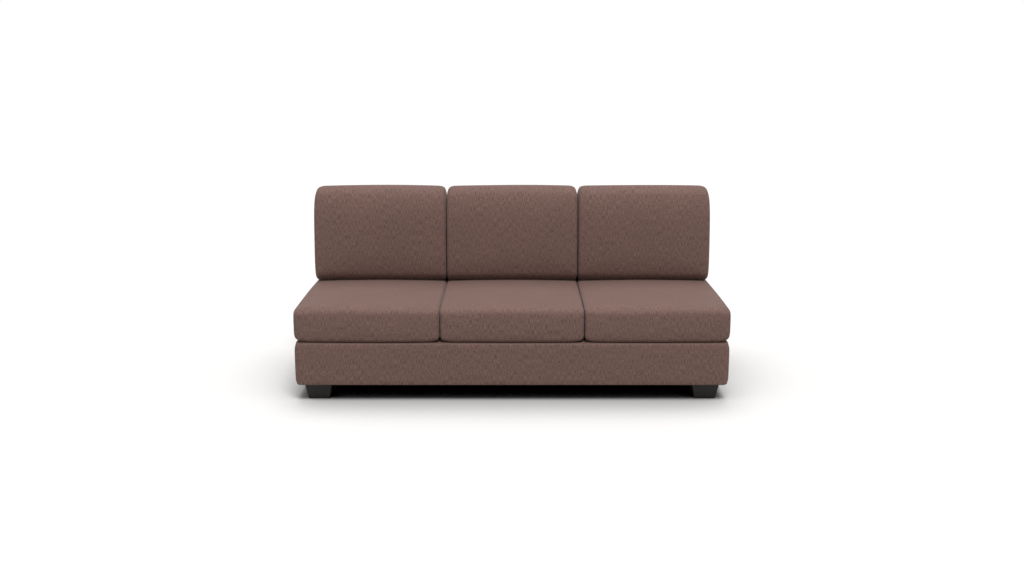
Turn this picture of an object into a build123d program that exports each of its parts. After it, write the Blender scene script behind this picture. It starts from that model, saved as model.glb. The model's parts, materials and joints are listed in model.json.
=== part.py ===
from build123d import *
import os
from math import cos, radians, sin, sqrt, tan

# An armless three-seat sofa with loose seat and back cushions.
# Millimetres. X runs along the sofa, the front faces -Y, +Z is up.
# The origin is on the floor, under the middle of the sofa's outline.

os.makedirs("parts", exist_ok=True)

# ---------------------------------------------------------------- driving sizes
seat_count = 3
seat_pitch = 660.0
overall_depth = 965.0
foot_height = 76.0
base_height = 200.0
back_top_z = 790.0
back_depth = 167.5
back_lean = 4.5

# Seat cushions: a box cushion with a crown, its edges and corners drawn in
seat_cushion_thick = 162.0
seat_front_belly = 8.0
seat_rear_fall = 11.0
seat_crown = 10.0
seat_side_fall = 5.0
seat_top_round = 38.0
seat_low_round = 26.0
seat_edge = 12.0
seat_low_edge_reach = 73.0
seat_low_edge_lift = 20.0

# Back cushions, which stand on the seat cushions and lean on the inside back
back_cushion_height = 480.0
back_cushion_thick = 192.0
back_front_belly = 22.0
back_crown = 6.0
back_side_fall = 6.0
back_top_edge_round = 45.0
back_low_edge_round = 38.0
back_edge = 12.0
back_corner_reach = 40.0
back_corner_fall = 60.0
back_low_corner_reach = 15.0
back_low_corner_lift = 30.0

# Wood
rail_thick = 25.0
post_thick = 28.0
stretcher_count = 3
stretcher_height = 70.0
stretcher_thick = 28.0
block_size = 120.0
block_thick = 40.0
cross_rail_thick = 22.0
cross_rail_height = 70.0
cross_rail_count = 3
spring_rail_set_back = 5.0

# Fabric and padding
cover_thick = 2.0
dust_cover_thick = 0.8
dust_cover_set_in = 12.0
hem_width = 45.0
lip_width = 70.0
base_pad_thick = 8.0
deck_foam_thick = 22.0
felt_thick = 3.0
back_foam_thick = 20.0
webbing_thick = 1.5
webbing_width = 50.0
webbing_per_seat = 4
cover_edge_round = 5.0
base_corner_round = 20.0
back_top_round = 25.0
base_set_in = 2.0

# Springs
wire_dia = 3.8
spring_width = 48.0
spring_bar_spacing = 37.0
spring_turn_share = 0.45
springs_per_seat = 4
clip_thick = 1.5
clip_width = 16.0
clip_reach = 20.0
tie_dia = 3.0

# Feet and fasteners
foot_top_width = 127.0
foot_bottom_width = 97.0
foot_set_in = 30.0
foot_edge_round = 3.0
centre_foot_width = 60.0
glide_thick = 3.0
glide_dia = 40.0
glide_pin_dia = 3.0
glide_pin_length = 12.0
bolt_dia = 8.0
bolt_depth_in_foot = 30.0
tee_nut_flange_dia = 20.0
tee_nut_flange_thick = 1.5
tee_nut_barrel_dia = 11.0
tee_nut_length = 12.0
screw_dia = 5.0
screw_head_dia = 10.0
screw_head_height = 3.0
screw_length = 60.0
staple_width = 12.0
staple_wire = 1.2
staple_leg = 10.0
staple_crown = 0.6
staple_spacing = 130.0

# Zips
zip_end_margin = 50.0
groove_width = 30.0
groove_depth = 7.0
tape_thick = 1.0
coil_width = 5.0
coil_height = 1.6
slider_length = 10.0
slider_width = 8.0
slider_thick = 1.8
pull_length = 22.0
pull_width = 6.0
pull_thick = 1.2

# Clearances
layer_gap = 0.2
cushion_gap = 0.6
rest_gap = 0.4
bolt_clearance = 0.1
deck_rear_gap = 1.0
seat_rear_gap = 3.0
back_foam_lift = 2.0
end_chamfer = 1.0
pick_margin = 1.0

# Fibre wrap and foam inside a cushion
wrap_thick = 12.0
soft_gap = 0.3

# ---------------------------------------------------------------- derived places
overall_width = seat_count * seat_pitch
half_width = overall_width / 2 - base_set_in
front_y = -overall_depth / 2 + base_set_in
rear_y = overall_depth / 2
deck_z = foot_height + base_height
hem_z = foot_height + dust_cover_thick
frame_z = hem_z + cover_thick

lean_sin = sin(radians(back_lean))
lean_cos = cos(radians(back_lean))
inside_back_y = rear_y - back_depth


def inside_back_at(z):
    """Y of the inside back's face at a height."""
    return inside_back_y + (z - deck_z) * tan(radians(back_lean))


wood_inset = cover_thick + base_pad_thick + 2 * layer_gap
wood_half = half_width - wood_inset
wood_front = front_y + wood_inset
wood_rear = rear_y - cover_thick - layer_gap
rear_rail_front = wood_rear - rail_thick
front_rail_rear = wood_front + rail_thick
spring_rail_rear = inside_back_y - spring_rail_set_back
spring_rail_front = spring_rail_rear - rail_thick

clip_height = 2 * clip_thick + wire_dia + layer_gap
felt_z = deck_z - cover_thick - deck_foam_thick - felt_thick - 2 * layer_gap
rail_top = felt_z - layer_gap - clip_height
spring_z = rail_top + clip_thick + layer_gap / 2 + wire_dia / 2
rail_height = rail_top - frame_z
padding_top = deck_z - cover_thick - layer_gap

# Plane of the inside back: X along the sofa, Y up the slope, Z out of it, forwards.
back_plane = Plane(
    origin=(0, inside_back_y, deck_z), x_dir=(1, 0, 0), z_dir=(0, -lean_cos, lean_sin)
)
back_slope = (back_top_z - deck_z) / lean_cos


def save(piece, name):
    """Label a finished piece and write it."""
    piece.part.label = name
    export_step(piece.part, f"parts/{name}.step")


def spread(count, length):
    """Centres of a number of equal bays over a length centred on zero."""
    return [(i + 0.5) * length / count - length / 2 for i in range(count)]


# ---------------------------------------------------------------- wooden base
with BuildPart() as front_rail:
    with Locations((0, wood_front + rail_thick / 2, frame_z + rail_height / 2)):
        Box(2 * wood_half, rail_thick, rail_height)
save(front_rail, "front_rail")

with BuildPart() as rear_rail:
    with Locations((0, wood_rear - rail_thick / 2, frame_z + rail_height / 2)):
        Box(2 * wood_half, rail_thick, rail_height)
save(rear_rail, "rear_rail")

with BuildPart() as spring_rail:
    with Locations((0, spring_rail_rear - rail_thick / 2, frame_z + rail_height / 2)):
        Box(2 * (wood_half - rail_thick), rail_thick, rail_height)
save(spring_rail, "spring_rail")

side_rail_length = spring_rail_rear - front_rail_rear
for side, name in ((-1, "side_rail_left"), (1, "side_rail_right")):
    with BuildPart() as side_rail:
        side_rail_x = side * (wood_half - rail_thick / 2)
        side_rail_y = front_rail_rear + side_rail_length / 2
        with Locations((side_rail_x, side_rail_y, frame_z + rail_height / 2)):
            Box(rail_thick, side_rail_length, rail_height)
    save(side_rail, name)

stretcher_bay = 2 * wood_half / (stretcher_count + 1)
stretcher_xs = [(i + 1) * stretcher_bay - wood_half for i in range(stretcher_count)]
stretcher_length = spring_rail_front - front_rail_rear
stretcher_y = (spring_rail_front + front_rail_rear) / 2
stretcher_z = frame_z + block_thick + stretcher_height / 2

with BuildPart() as seat_stretchers:
    with Locations(*[(x, stretcher_y, stretcher_z) for x in stretcher_xs]):
        Box(stretcher_thick, stretcher_length, stretcher_height)
save(seat_stretchers, "seat_stretchers")

# ---------------------------------------------------------------- feet and their bolts
foot_x = half_width - foot_set_in - foot_top_width / 2
front_foot_y = front_y + foot_set_in + foot_top_width / 2
rear_foot_y = rear_y - foot_set_in - foot_top_width / 2
corner_feet = {
    "foot_front_left": (-foot_x, front_foot_y),
    "foot_front_right": (foot_x, front_foot_y),
    "foot_rear_left": (-foot_x, rear_foot_y),
    "foot_rear_right": (foot_x, rear_foot_y),
}
centre_foot_place = (0, stretcher_y)
foot_places = [*corner_feet.values(), centre_foot_place]
block_top = frame_z + block_thick
bolt_bottom = foot_height - bolt_depth_in_foot
bolt_top = block_top - layer_gap

front_block_y = front_rail_rear + block_size / 2
rear_block_depth = rear_rail_front - spring_rail_rear
rear_block_y = (rear_rail_front + spring_rail_rear) / 2
front_block_x = wood_half - rail_thick - block_size / 2
rear_block_x = wood_half - post_thick - block_size / 2

with BuildPart() as corner_blocks:
    block_z = frame_z + block_thick / 2
    with Locations(
        (-front_block_x, front_block_y, block_z),
        (front_block_x, front_block_y, block_z),
        (0, stretcher_y, block_z),
    ):
        Box(block_size, block_size, block_thick)
    with Locations((-rear_block_x, rear_block_y, block_z), (rear_block_x, rear_block_y, block_z)):
        Box(block_size, rear_block_depth, block_thick)
    with Locations(*[(x, y, block_top) for x, y in foot_places]):
        CounterBoreHole(
            radius=tee_nut_barrel_dia / 2 + bolt_clearance,
            counter_bore_radius=tee_nut_flange_dia / 2 + bolt_clearance,
            counter_bore_depth=tee_nut_flange_thick + bolt_clearance,
            depth=block_thick,
        )
save(corner_blocks, "corner_blocks")

with BuildPart() as tee_nuts:
    flange_z = block_top - tee_nut_flange_thick / 2
    with Locations(*[(x, y, flange_z) for x, y in foot_places]):
        Cylinder(tee_nut_flange_dia / 2, tee_nut_flange_thick)
    barrel_z = block_top - tee_nut_flange_thick - tee_nut_length / 2
    with Locations(*[(x, y, barrel_z) for x, y in foot_places]):
        Cylinder(tee_nut_barrel_dia / 2, tee_nut_length)
    with Locations(*[(x, y, barrel_z) for x, y in foot_places]):
        Cylinder(bolt_dia / 2 + bolt_clearance, 3 * tee_nut_length, mode=Mode.SUBTRACT)
save(tee_nuts, "tee_nuts")

with BuildPart() as foot_bolts:
    with Locations(*[(x, y, (bolt_top + bolt_bottom) / 2) for x, y in foot_places]):
        Cylinder(bolt_dia / 2, bolt_top - bolt_bottom)
    chamfer(foot_bolts.edges().filter_by(GeomType.CIRCLE), end_chamfer)
save(foot_bolts, "foot_bolts")

with BuildPart() as foot_glides:
    with Locations(*[(x, y, glide_thick / 2) for x, y in foot_places]):
        Cylinder(glide_dia / 2, glide_thick)
    chamfer(foot_glides.edges().group_by(Axis.Z)[0], end_chamfer)
    pin_z = glide_thick + glide_pin_length / 2
    with Locations(*[(x, y, pin_z) for x, y in foot_places]):
        Cylinder(glide_pin_dia / 2, glide_pin_length)
save(foot_glides, "foot_glides")


def block_foot(place, top_width, bottom_width):
    """A square foot that narrows downwards, bored for its bolt and its glide's pin."""
    with BuildPart() as foot:
        with BuildSketch(Plane((*place, glide_thick))):
            Rectangle(bottom_width, bottom_width)
        with BuildSketch(Plane((*place, foot_height))):
            Rectangle(top_width, top_width)
        loft()
        fillet(foot.edges().group_by(Axis.Z)[1], foot_edge_round)
        with Locations((*place, foot_height - bolt_depth_in_foot / 2)):
            Cylinder(bolt_dia / 2 + bolt_clearance, bolt_depth_in_foot, mode=Mode.SUBTRACT)
        with Locations((*place, glide_thick + glide_pin_length / 2)):
            Cylinder(
                glide_pin_dia / 2 + bolt_clearance,
                glide_pin_length + 2 * layer_gap,
                mode=Mode.SUBTRACT,
            )
    return foot


for name, place in corner_feet.items():
    save(block_foot(place, foot_top_width, foot_bottom_width), name)
centre_taper = (foot_top_width - foot_bottom_width) / 2
save(
    block_foot(centre_foot_place, centre_foot_width + centre_taper, centre_foot_width),
    "foot_centre",
)

# ---------------------------------------------------------------- wooden back
post_top = back_top_z - cover_thick - layer_gap
webbing_front = -(cover_thick + back_foam_thick + 2 * layer_gap)
cross_rail_front = webbing_front - webbing_thick - layer_gap
post_front = cross_rail_front - cross_rail_thick - layer_gap


def post_front_at(z):
    """Y of the posts' sloping front edge at a height."""
    return inside_back_at(z) - post_front / lean_cos


outer_post_x = wood_half - post_thick / 2
post_bay = 2 * outer_post_x / seat_count
post_xs = [i * post_bay - outer_post_x for i in range(seat_count + 1)]

with BuildPart() as back_posts:
    for post_x in post_xs:
        with BuildSketch(Plane.YZ.offset(post_x - post_thick / 2)):
            with BuildLine():
                Polyline(
                    (spring_rail_rear, frame_z),
                    (rear_rail_front, frame_z),
                    (rear_rail_front, rail_top),
                    (wood_rear, rail_top),
                    (wood_rear, post_top),
                    (post_front_at(post_top), post_top),
                    (post_front_at(deck_z), deck_z),
                    (post_front_at(deck_z), rail_top),
                    (spring_rail_rear, rail_top),
                    close=True,
                )
            make_face()
        extrude(amount=post_thick)
save(back_posts, "back_posts")

cross_rail_low = cross_rail_height / 2 + rail_thick
cross_rail_high = back_slope - cross_rail_height / 2 - back_top_round
cross_rail_step = (cross_rail_high - cross_rail_low) / (cross_rail_count - 1)
cross_rail_places = [cross_rail_low + i * cross_rail_step for i in range(cross_rail_count)]

with BuildPart(back_plane) as back_cross_rails:
    rail_centre = cross_rail_front - cross_rail_thick / 2
    with Locations(*[(0, slope, rail_centre) for slope in cross_rail_places]):
        Box(2 * wood_half, cross_rail_height, cross_rail_thick)
save(back_cross_rails, "back_cross_rails")

webbing_low = cross_rail_low - cross_rail_height / 2
webbing_high = cross_rail_high + cross_rail_height / 2
with BuildPart(back_plane) as back_webbing:
    strap_xs = spread(seat_count * webbing_per_seat, 2 * wood_half)
    strap_slope = (webbing_low + webbing_high) / 2
    with Locations(*[(x, strap_slope, webbing_front - webbing_thick / 2) for x in strap_xs]):
        Box(webbing_width, webbing_high - webbing_low, webbing_thick)
save(back_webbing, "back_webbing")

with BuildPart(back_plane) as back_foam:
    foam_height = back_slope - back_top_round - layer_gap
    foam_centre = -cover_thick - layer_gap - back_foam_thick / 2
    with Locations((0, back_foam_lift + foam_height / 2, foam_centre)):
        Box(2 * (half_width - cover_thick - layer_gap), foam_height, back_foam_thick)
save(back_foam, "back_foam")

# ---------------------------------------------------------------- springs
spring_xs = spread(seat_count * springs_per_seat, 2 * (wood_half - rail_thick))
clip_wall_front = front_rail_rear - clip_reach
clip_wall_rear = spring_rail_front + clip_reach
bar_front = clip_wall_front + clip_thick + layer_gap / 2 + wire_dia / 2
bar_rear = clip_wall_rear - clip_thick - layer_gap / 2 - wire_dia / 2
bar_gaps = round((bar_rear - bar_front) / spring_bar_spacing)
bar_step = (bar_rear - bar_front) / bar_gaps

# One wire: bars across the sofa, joined at alternate ends by round turns.
spring_points = []
for bar in range(bar_gaps + 1):
    turn_side = 1 if bar % 2 == 0 else -1
    bar_y = bar_front + bar * bar_step
    spring_points.append((-turn_side * spring_width / 2, bar_y, spring_z))
    spring_points.append((turn_side * spring_width / 2, bar_y, spring_z))

with BuildPart() as spring_wire:
    with BuildLine() as wire_path:
        FilletPolyline(*spring_points, radius=spring_turn_share * bar_step)
    with BuildSketch(Plane(wire_path.line @ 0, z_dir=wire_path.line % 0)):
        Circle(wire_dia / 2)
    sweep()

with BuildPart() as seat_springs:
    with Locations(*[(x, 0, 0) for x in spring_xs]):
        add(spring_wire.part)
save(seat_springs, "seat_springs")

with BuildPart() as spring_clips:
    for wall, inward in ((clip_wall_front, 1), (clip_wall_rear, -1)):
        for spring_x in spring_xs:
            with BuildSketch(Plane.YZ.offset(spring_x - clip_width / 2)):
                with BuildLine():
                    Polyline(
                        (wall, rail_top),
                        (wall + inward * clip_reach, rail_top),
                        (wall + inward * clip_reach, rail_top + clip_thick),
                        (wall + inward * clip_thick, rail_top + clip_thick),
                        (wall + inward * clip_thick, rail_top + clip_height - clip_thick),
                        (wall + inward * clip_reach / 2, rail_top + clip_height - clip_thick),
                        (wall + inward * clip_reach / 2, rail_top + clip_height),
                        (wall, rail_top + clip_height),
                        close=True,
                    )
                make_face()
            extrude(amount=clip_width)
save(spring_clips, "spring_clips")

with BuildPart() as spring_ties:
    tie_z = spring_z - wire_dia / 2 - layer_gap / 2 - tie_dia / 2
    tie_ys = [bar_front + bar_step * round(bar_gaps * share) for share in (1 / 3, 2 / 3)]
    with Locations(*[Location((0, y, tie_z), (0, 90, 0)) for y in tie_ys]):
        Cylinder(tie_dia / 2, 2 * (wood_half - rail_thick - layer_gap))
save(spring_ties, "spring_ties")

# ---------------------------------------------------------------- padding of the base
deck_front = front_y + lip_width
deck_rear = inside_back_y - deck_rear_gap
deck_half = half_width - lip_width
deck_mid_y = (deck_front + deck_rear) / 2
deck_depth = deck_rear - deck_front


def deck_layer(bottom, top):
    """A sheet that fills the deck, inside the lip, between two heights."""
    with BuildPart() as layer:
        with Locations((0, deck_mid_y, (bottom + top) / 2)):
            Box(2 * (deck_half - layer_gap), deck_depth - 2 * layer_gap, top - bottom)
    return layer


save(deck_layer(felt_z, felt_z + felt_thick), "deck_felt")
save(deck_layer(padding_top - deck_foam_thick, padding_top), "deck_foam")
save(deck_layer(padding_top + layer_gap, deck_z), "deck_cover")


def base_outline(inset, rear):
    """Plan of the base: a rectangle with its two front corners rounded."""
    front = front_y + inset
    half = half_width - inset
    with BuildSketch() as outline:
        with Locations((0, (front + rear) / 2)):
            Rectangle(2 * half, rear - front)
        fillet(outline.vertices().group_by(Axis.Y)[0], base_corner_round - inset)
    return outline.sketch


pad_outline = base_outline(cover_thick + layer_gap, wood_rear)
pad_hollow_front = wood_front - layer_gap
roll_outline = base_outline(cover_thick + layer_gap, deck_rear)

with BuildPart() as base_padding:
    with BuildSketch(Plane.XY.offset(frame_z + layer_gap)):
        add(pad_outline)
        with Locations((0, (pad_hollow_front + wood_rear) / 2)):
            Rectangle(
                2 * (wood_half + layer_gap), wood_rear - pad_hollow_front, mode=Mode.SUBTRACT
            )
    extrude(amount=rail_height)
save(base_padding, "base_padding")

with BuildPart() as edge_roll:
    with BuildSketch(Plane.XY.offset(felt_z)):
        add(roll_outline)
        with Locations((0, deck_front + overall_depth / 2)):
            Rectangle(2 * deck_half, overall_depth, mode=Mode.SUBTRACT)
    extrude(amount=padding_top - felt_z)
save(edge_roll, "edge_roll")

# ---------------------------------------------------------------- covers of the frame
cover_rear = rear_y - cover_thick
with BuildPart() as base_cover:
    with BuildSketch(Plane.XY.offset(hem_z)):
        add(base_outline(0, cover_rear))
    extrude(amount=deck_z - hem_z)
    round_edges = base_cover.faces().filter_by(Axis.Z).edges().filter_by(
        lambda edge: edge.center().Y < cover_rear - pick_margin
    )
    fillet(round_edges, cover_edge_round)
    with BuildSketch(Plane.XY.offset(frame_z)):
        add(base_outline(cover_thick, rear_y))
    extrude(amount=deck_z - cover_thick - frame_z, mode=Mode.SUBTRACT)
    with Locations((0, deck_front + overall_depth / 2, deck_z)):
        Box(2 * deck_half, overall_depth, 4 * cover_thick, mode=Mode.SUBTRACT)
    with Locations((0, front_y + hem_width + overall_depth / 2, hem_z)):
        Box(
            2 * (half_width - hem_width),
            overall_depth,
            4 * cover_thick,
            mode=Mode.SUBTRACT,
        )
    with Locations((0, deck_rear + overall_depth / 2, deck_z)):
        Box(2 * (half_width - cover_thick), overall_depth, 4 * cover_thick, mode=Mode.SUBTRACT)
save(base_cover, "base_cover")


def back_outline(inset, bottom, rear):
    """Side view of the back: sloping front, rounded top, upright rear."""
    top = back_top_z - inset
    front_shift = inset / lean_cos
    with BuildSketch(Plane.YZ.offset(inset - half_width)) as outline:
        with BuildLine():
            Polyline(
                (inside_back_at(bottom) + front_shift, bottom),
                (inside_back_at(top) + front_shift, top),
                (rear, top),
                (rear, bottom),
                close=True,
            )
        make_face()
        fillet(outline.vertices().group_by(Axis.Z)[-1].sort_by(Axis.Y)[0], back_top_round - inset)
    return outline.sketch


back_bottom = deck_z + layer_gap
with BuildPart() as back_inner_cover:
    extrude(back_outline(0, back_bottom, cover_rear), amount=2 * half_width, dir=(1, 0, 0))
    upright = back_inner_cover.faces().filter_by(Axis.X).edges().filter_by(
        lambda edge: edge.center().Z > back_bottom + pick_margin
        and edge.center().Y < cover_rear - pick_margin
    )
    fillet(upright, cover_edge_round)
    extrude(
        back_outline(cover_thick, back_bottom - base_height, rear_y),
        amount=2 * (half_width - cover_thick),
        dir=(1, 0, 0),
        mode=Mode.SUBTRACT,
    )
save(back_inner_cover, "back_inner_cover")

with BuildPart() as back_outer_cover:
    with BuildSketch(Plane.XZ.offset(-rear_y)) as panel:
        with Locations((0, (hem_z + back_top_z) / 2)):
            Rectangle(2 * half_width, back_top_z - hem_z)
        fillet(panel.vertices(), cover_edge_round)
    extrude(amount=cover_thick)
save(back_outer_cover, "back_outer_cover")

with BuildPart() as dust_cover:
    dust_front = front_y + dust_cover_set_in
    dust_rear = rear_y - dust_cover_set_in
    with Locations((0, (dust_front + dust_rear) / 2, foot_height + dust_cover_thick / 2)):
        Box(2 * (half_width - dust_cover_set_in), dust_rear - dust_front, dust_cover_thick)
    with Locations(*[(x, y, foot_height) for x, y in foot_places]):
        Cylinder(bolt_dia / 2 + bolt_clearance, 4 * dust_cover_thick, mode=Mode.SUBTRACT)
save(dust_cover, "dust_cover")

# ---------------------------------------------------------------- screws and staples
with BuildPart() as wood_screw:
    with BuildSketch(Plane.XZ):
        with BuildLine():
            Polyline(
                (0, 0),
                (screw_head_dia / 2, 0),
                (screw_dia / 2, -screw_head_height),
                (screw_dia / 2, -screw_length + screw_dia),
                (0, -screw_length),
                close=True,
            )
        make_face()
    revolve(axis=Axis.Z)

screw_heights = [frame_z + rail_height * share for share in (1 / 4, 3 / 4)]
rail_screws = [(side * (wood_half - rail_thick / 2), z) for side in (-1, 1) for z in screw_heights]
post_screws = [(side * outer_post_x, z) for side in (-1, 1) for z in screw_heights]
stretcher_screws = [(x, stretcher_z) for x in stretcher_xs]

with BuildPart() as frame_screws:
    facing_front = Plane.XZ.offset(-wood_front)
    with Locations(*[facing_front * Location((x, z, 0)) for x, z in rail_screws + stretcher_screws]):
        add(wood_screw.part)
    facing_rear = Plane(origin=(0, wood_rear, 0), x_dir=(-1, 0, 0), z_dir=(0, 1, 0))
    with Locations(*[facing_rear * Location((-x, z, 0)) for x, z in post_screws]):
        add(wood_screw.part)
    for post_x in post_xs:
        for slope in cross_rail_places:
            with Locations(back_plane * Location((post_x, slope, cross_rail_front))):
                add(wood_screw.part)
save(frame_screws, "frame_screws")

staple_centre = rail_thick / 2
front_staples = round(2 * wood_half / staple_spacing)
side_staples = round(side_rail_length / staple_spacing)
front_staple_xs = spread(front_staples, 2 * (wood_half - rail_thick))
side_rail_mid = front_rail_rear + side_rail_length / 2
side_staple_ys = [side_rail_mid + y for y in spread(side_staples, side_rail_length)]

with BuildPart() as staple:
    with BuildSketch(Plane.XZ.offset(-staple_wire / 2)):
        with Locations((0, staple_crown / 2)):
            Rectangle(staple_width, staple_crown)
        leg_x = (staple_width - staple_wire) / 2
        with Locations((-leg_x, staple_leg / 2), (leg_x, staple_leg / 2)):
            Rectangle(staple_wire, staple_leg)
    extrude(amount=staple_wire)

staple_z = foot_height - staple_crown
with BuildPart() as cover_staples:
    for staple_y in (wood_front + staple_centre, wood_rear - staple_centre):
        with Locations(*[(x, staple_y, staple_z) for x in front_staple_xs]):
            add(staple.part)
    for staple_x in (-wood_half + staple_centre, wood_half - staple_centre):
        with Locations(*[Location((staple_x, y, staple_z), (0, 0, 90)) for y in side_staple_ys]):
            add(staple.part)
save(cover_staples, "cover_staples")

# ---------------------------------------------------------------- cushions
quarter = 1 - sqrt(0.5)


def edge_fall(distance, reach, fall):
    """How far an elliptical edge has fallen at a distance in from the cushion's side."""
    if distance >= reach:
        return 0
    return fall * (1 - sqrt(1 - (1 - distance / reach) ** 2))


def cushion_section(
    plane, front, rear, low, front_top, rear_top, belly, crown, top_round, low_round
):
    """Side view of a cushion: flat bottom and rear, swelling front, crowned top."""
    with BuildSketch(plane) as section:
        with BuildLine():
            Line((front + low_round, low), (rear - low_round, low))
            ThreePointArc(
                (rear - low_round, low),
                (rear - quarter * low_round, low + quarter * low_round),
                (rear, low + low_round),
            )
            Line((rear, low + low_round), (rear, rear_top - top_round))
            ThreePointArc(
                (rear, rear_top - top_round),
                (rear - quarter * top_round, rear_top - quarter * top_round),
                (rear - top_round, rear_top),
            )
            ThreePointArc(
                (rear - top_round, rear_top),
                ((front + rear) / 2, (front_top + rear_top) / 2 + crown),
                (front + top_round, front_top),
            )
            ThreePointArc(
                (front + top_round, front_top),
                (front + quarter * top_round, front_top - quarter * top_round),
                (front, front_top - top_round),
            )
            ThreePointArc(
                (front, front_top - top_round),
                (front - belly, (front_top - top_round + low + low_round) / 2),
                (front, low + low_round),
            )
            ThreePointArc(
                (front, low + low_round),
                (front + quarter * low_round, low + quarter * low_round),
                (front + low_round, low),
            )
        make_face()
    return section.sketch


cushion_half = seat_pitch / 2 - cushion_gap / 2

# Seat cushion, in the sofa's own Y and Z.
seat_front = -overall_depth / 2 + seat_front_belly
seat_rear = inside_back_y - seat_rear_gap
seat_bottom = deck_z + rest_gap
seat_front_top = seat_bottom + seat_cushion_thick
seat_rear_top = seat_front_top - seat_rear_fall
seat_stations = (0, seat_edge / 4, seat_edge, seat_low_edge_reach / 2, seat_low_edge_reach)

# Back cushion: depths back from the inside back's face, heights up its slope.
back_front = -(back_cushion_thick - back_front_belly)
seat_top_at_rear = (seat_rear - seat_top_round, seat_rear_top + rest_gap)
back_low = (seat_top_at_rear[0] - inside_back_y) * lean_sin + (
    seat_top_at_rear[1] - deck_z
) * lean_cos
back_high = back_low + back_cushion_height
back_stations = (0, back_edge / 6, back_edge * 2 / 3, back_corner_reach / 2, back_corner_reach)


def across(stations, half):
    """Places across a cushion, from one side to the other, with their distance to the side."""
    stations = (*stations, half / 2)
    places = [(-half + distance, distance) for distance in stations]
    return places + [(0, half)] + [(-x, distance) for x, distance in reversed(places)]


def seat_form(centre_x, inset):
    """A seat cushion's crowned form, drawn in by a thickness on every side."""
    half = cushion_half - inset
    sections = []
    for x, distance in across(seat_stations, half):
        edge = edge_fall(distance, seat_edge, seat_edge)
        side_fall = seat_side_fall * (x / half) ** 2
        low_lift = edge_fall(distance, seat_low_edge_reach, seat_low_edge_lift)
        section = cushion_section(
            Plane.YZ.offset(centre_x + x),
            front=seat_front + inset + edge + side_fall,
            rear=seat_rear - inset - edge,
            low=seat_bottom + inset + low_lift,
            front_top=seat_front_top - inset - edge - side_fall,
            rear_top=seat_rear_top - inset - edge,
            belly=seat_front_belly,
            crown=seat_crown - side_fall,
            top_round=seat_top_round - inset,
            low_round=seat_low_round - inset,
        )
        sections.append(section)
    with BuildPart() as form:
        loft(sections, ruled=True)
    return form.part


def back_form(centre_x, inset):
    """A back cushion's crowned form, drawn in by a thickness on every side."""
    half = cushion_half - inset
    sections = []
    for x, distance in across(back_stations, half):
        edge = edge_fall(distance, back_edge, back_edge)
        side_fall = back_side_fall * (x / half) ** 2
        top_fall = side_fall + edge_fall(distance, back_corner_reach, back_corner_fall)
        top = back_high - inset - back_crown - top_fall
        side_plane = Plane(
            origin=(centre_x + x, inside_back_y, deck_z),
            x_dir=(0, lean_cos, -lean_sin),
            z_dir=(1, 0, 0),
        )
        section = cushion_section(
            side_plane,
            front=back_front + inset + edge + side_fall,
            rear=-soft_gap - inset - edge,
            low=back_low + inset + edge_fall(distance, back_low_corner_reach, back_low_corner_lift),
            front_top=top,
            rear_top=top,
            belly=back_front_belly,
            crown=back_crown,
            top_round=back_top_edge_round - inset,
            low_round=back_low_edge_round - inset,
        )
        sections.append(section)
    with BuildPart() as form:
        loft(sections, ruled=True)
    return form.part


zip_length = 2 * (cushion_half - zip_end_margin)
tape_floor = layer_gap / 2 - groove_depth
coil_floor = tape_floor + tape_thick
slider_floor = coil_floor + coil_height + layer_gap
pull_floor = slider_floor + slider_thick
slider_x = slider_length - zip_length / 2


def groove_cut(plane, margin):
    """Cut the zip's channel, sunk from a plane, its sizes widened by a margin."""
    length = zip_length + 2 * margin
    width = groove_width + 2 * margin
    with Locations(plane):
        Box(length, width, 2 * (groove_depth + margin), mode=Mode.SUBTRACT)


def hollow(outer, inner, plane, margin, name):
    """A skin between two forms, with the zip's channel pressed into it."""
    with BuildPart() as core:
        add(inner)
        groove_cut(plane, margin + cover_thick)
    with BuildPart() as skin:
        add(outer)
        groove_cut(plane, margin)
        add(core.part, mode=Mode.SUBTRACT)
    save(skin, name)


def zip_pieces(plane, kind, side):
    """The zip's tape and coil on the channel's floor, and the slider at one end of it."""
    run = zip_length - 2 * layer_gap
    with BuildPart() as chain:
        with BuildSketch(plane.offset(tape_floor)):
            Rectangle(run, groove_width - 2 * layer_gap)
        extrude(amount=tape_thick)
        with BuildSketch(plane.offset(coil_floor)):
            Rectangle(run, coil_width)
        extrude(amount=coil_height)
    save(chain, f"{kind}_zip_{side}")
    with BuildPart() as slider:
        with BuildSketch(plane.offset(slider_floor)):
            with Locations((slider_x, 0)):
                RectangleRounded(slider_length, slider_width, pull_thick)
        extrude(amount=slider_thick)
        with BuildSketch(plane.offset(pull_floor)):
            with Locations((slider_x + pull_length / 2, 0)):
                SlotOverall(pull_length, pull_width)
        extrude(amount=pull_thick)
    save(slider, f"{kind}_zip_slider_{side}")


wrap_inset = cover_thick + soft_gap
foam_inset = wrap_inset + wrap_thick + soft_gap
seat_names = ("left", "middle", "right")
cushion_xs = spread(seat_count, overall_width)

for side, cushion_x in zip(seat_names, cushion_xs):
    zip_z = (seat_bottom + seat_rear_top) / 2
    seat_zip = Plane(origin=(cushion_x, seat_rear, zip_z), x_dir=(-1, 0, 0), z_dir=(0, 1, 0))
    hollow(
        seat_form(cushion_x, 0),
        seat_form(cushion_x, cover_thick),
        seat_zip,
        0,
        f"seat_cover_{side}",
    )
    hollow(
        seat_form(cushion_x, wrap_inset),
        seat_form(cushion_x, wrap_inset + wrap_thick),
        seat_zip,
        cover_thick + soft_gap,
        f"seat_wrap_{side}",
    )
    with BuildPart() as seat_foam:
        add(seat_form(cushion_x, foam_inset))
    save(seat_foam, f"seat_foam_{side}")
    zip_pieces(seat_zip, "seat", side)

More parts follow.
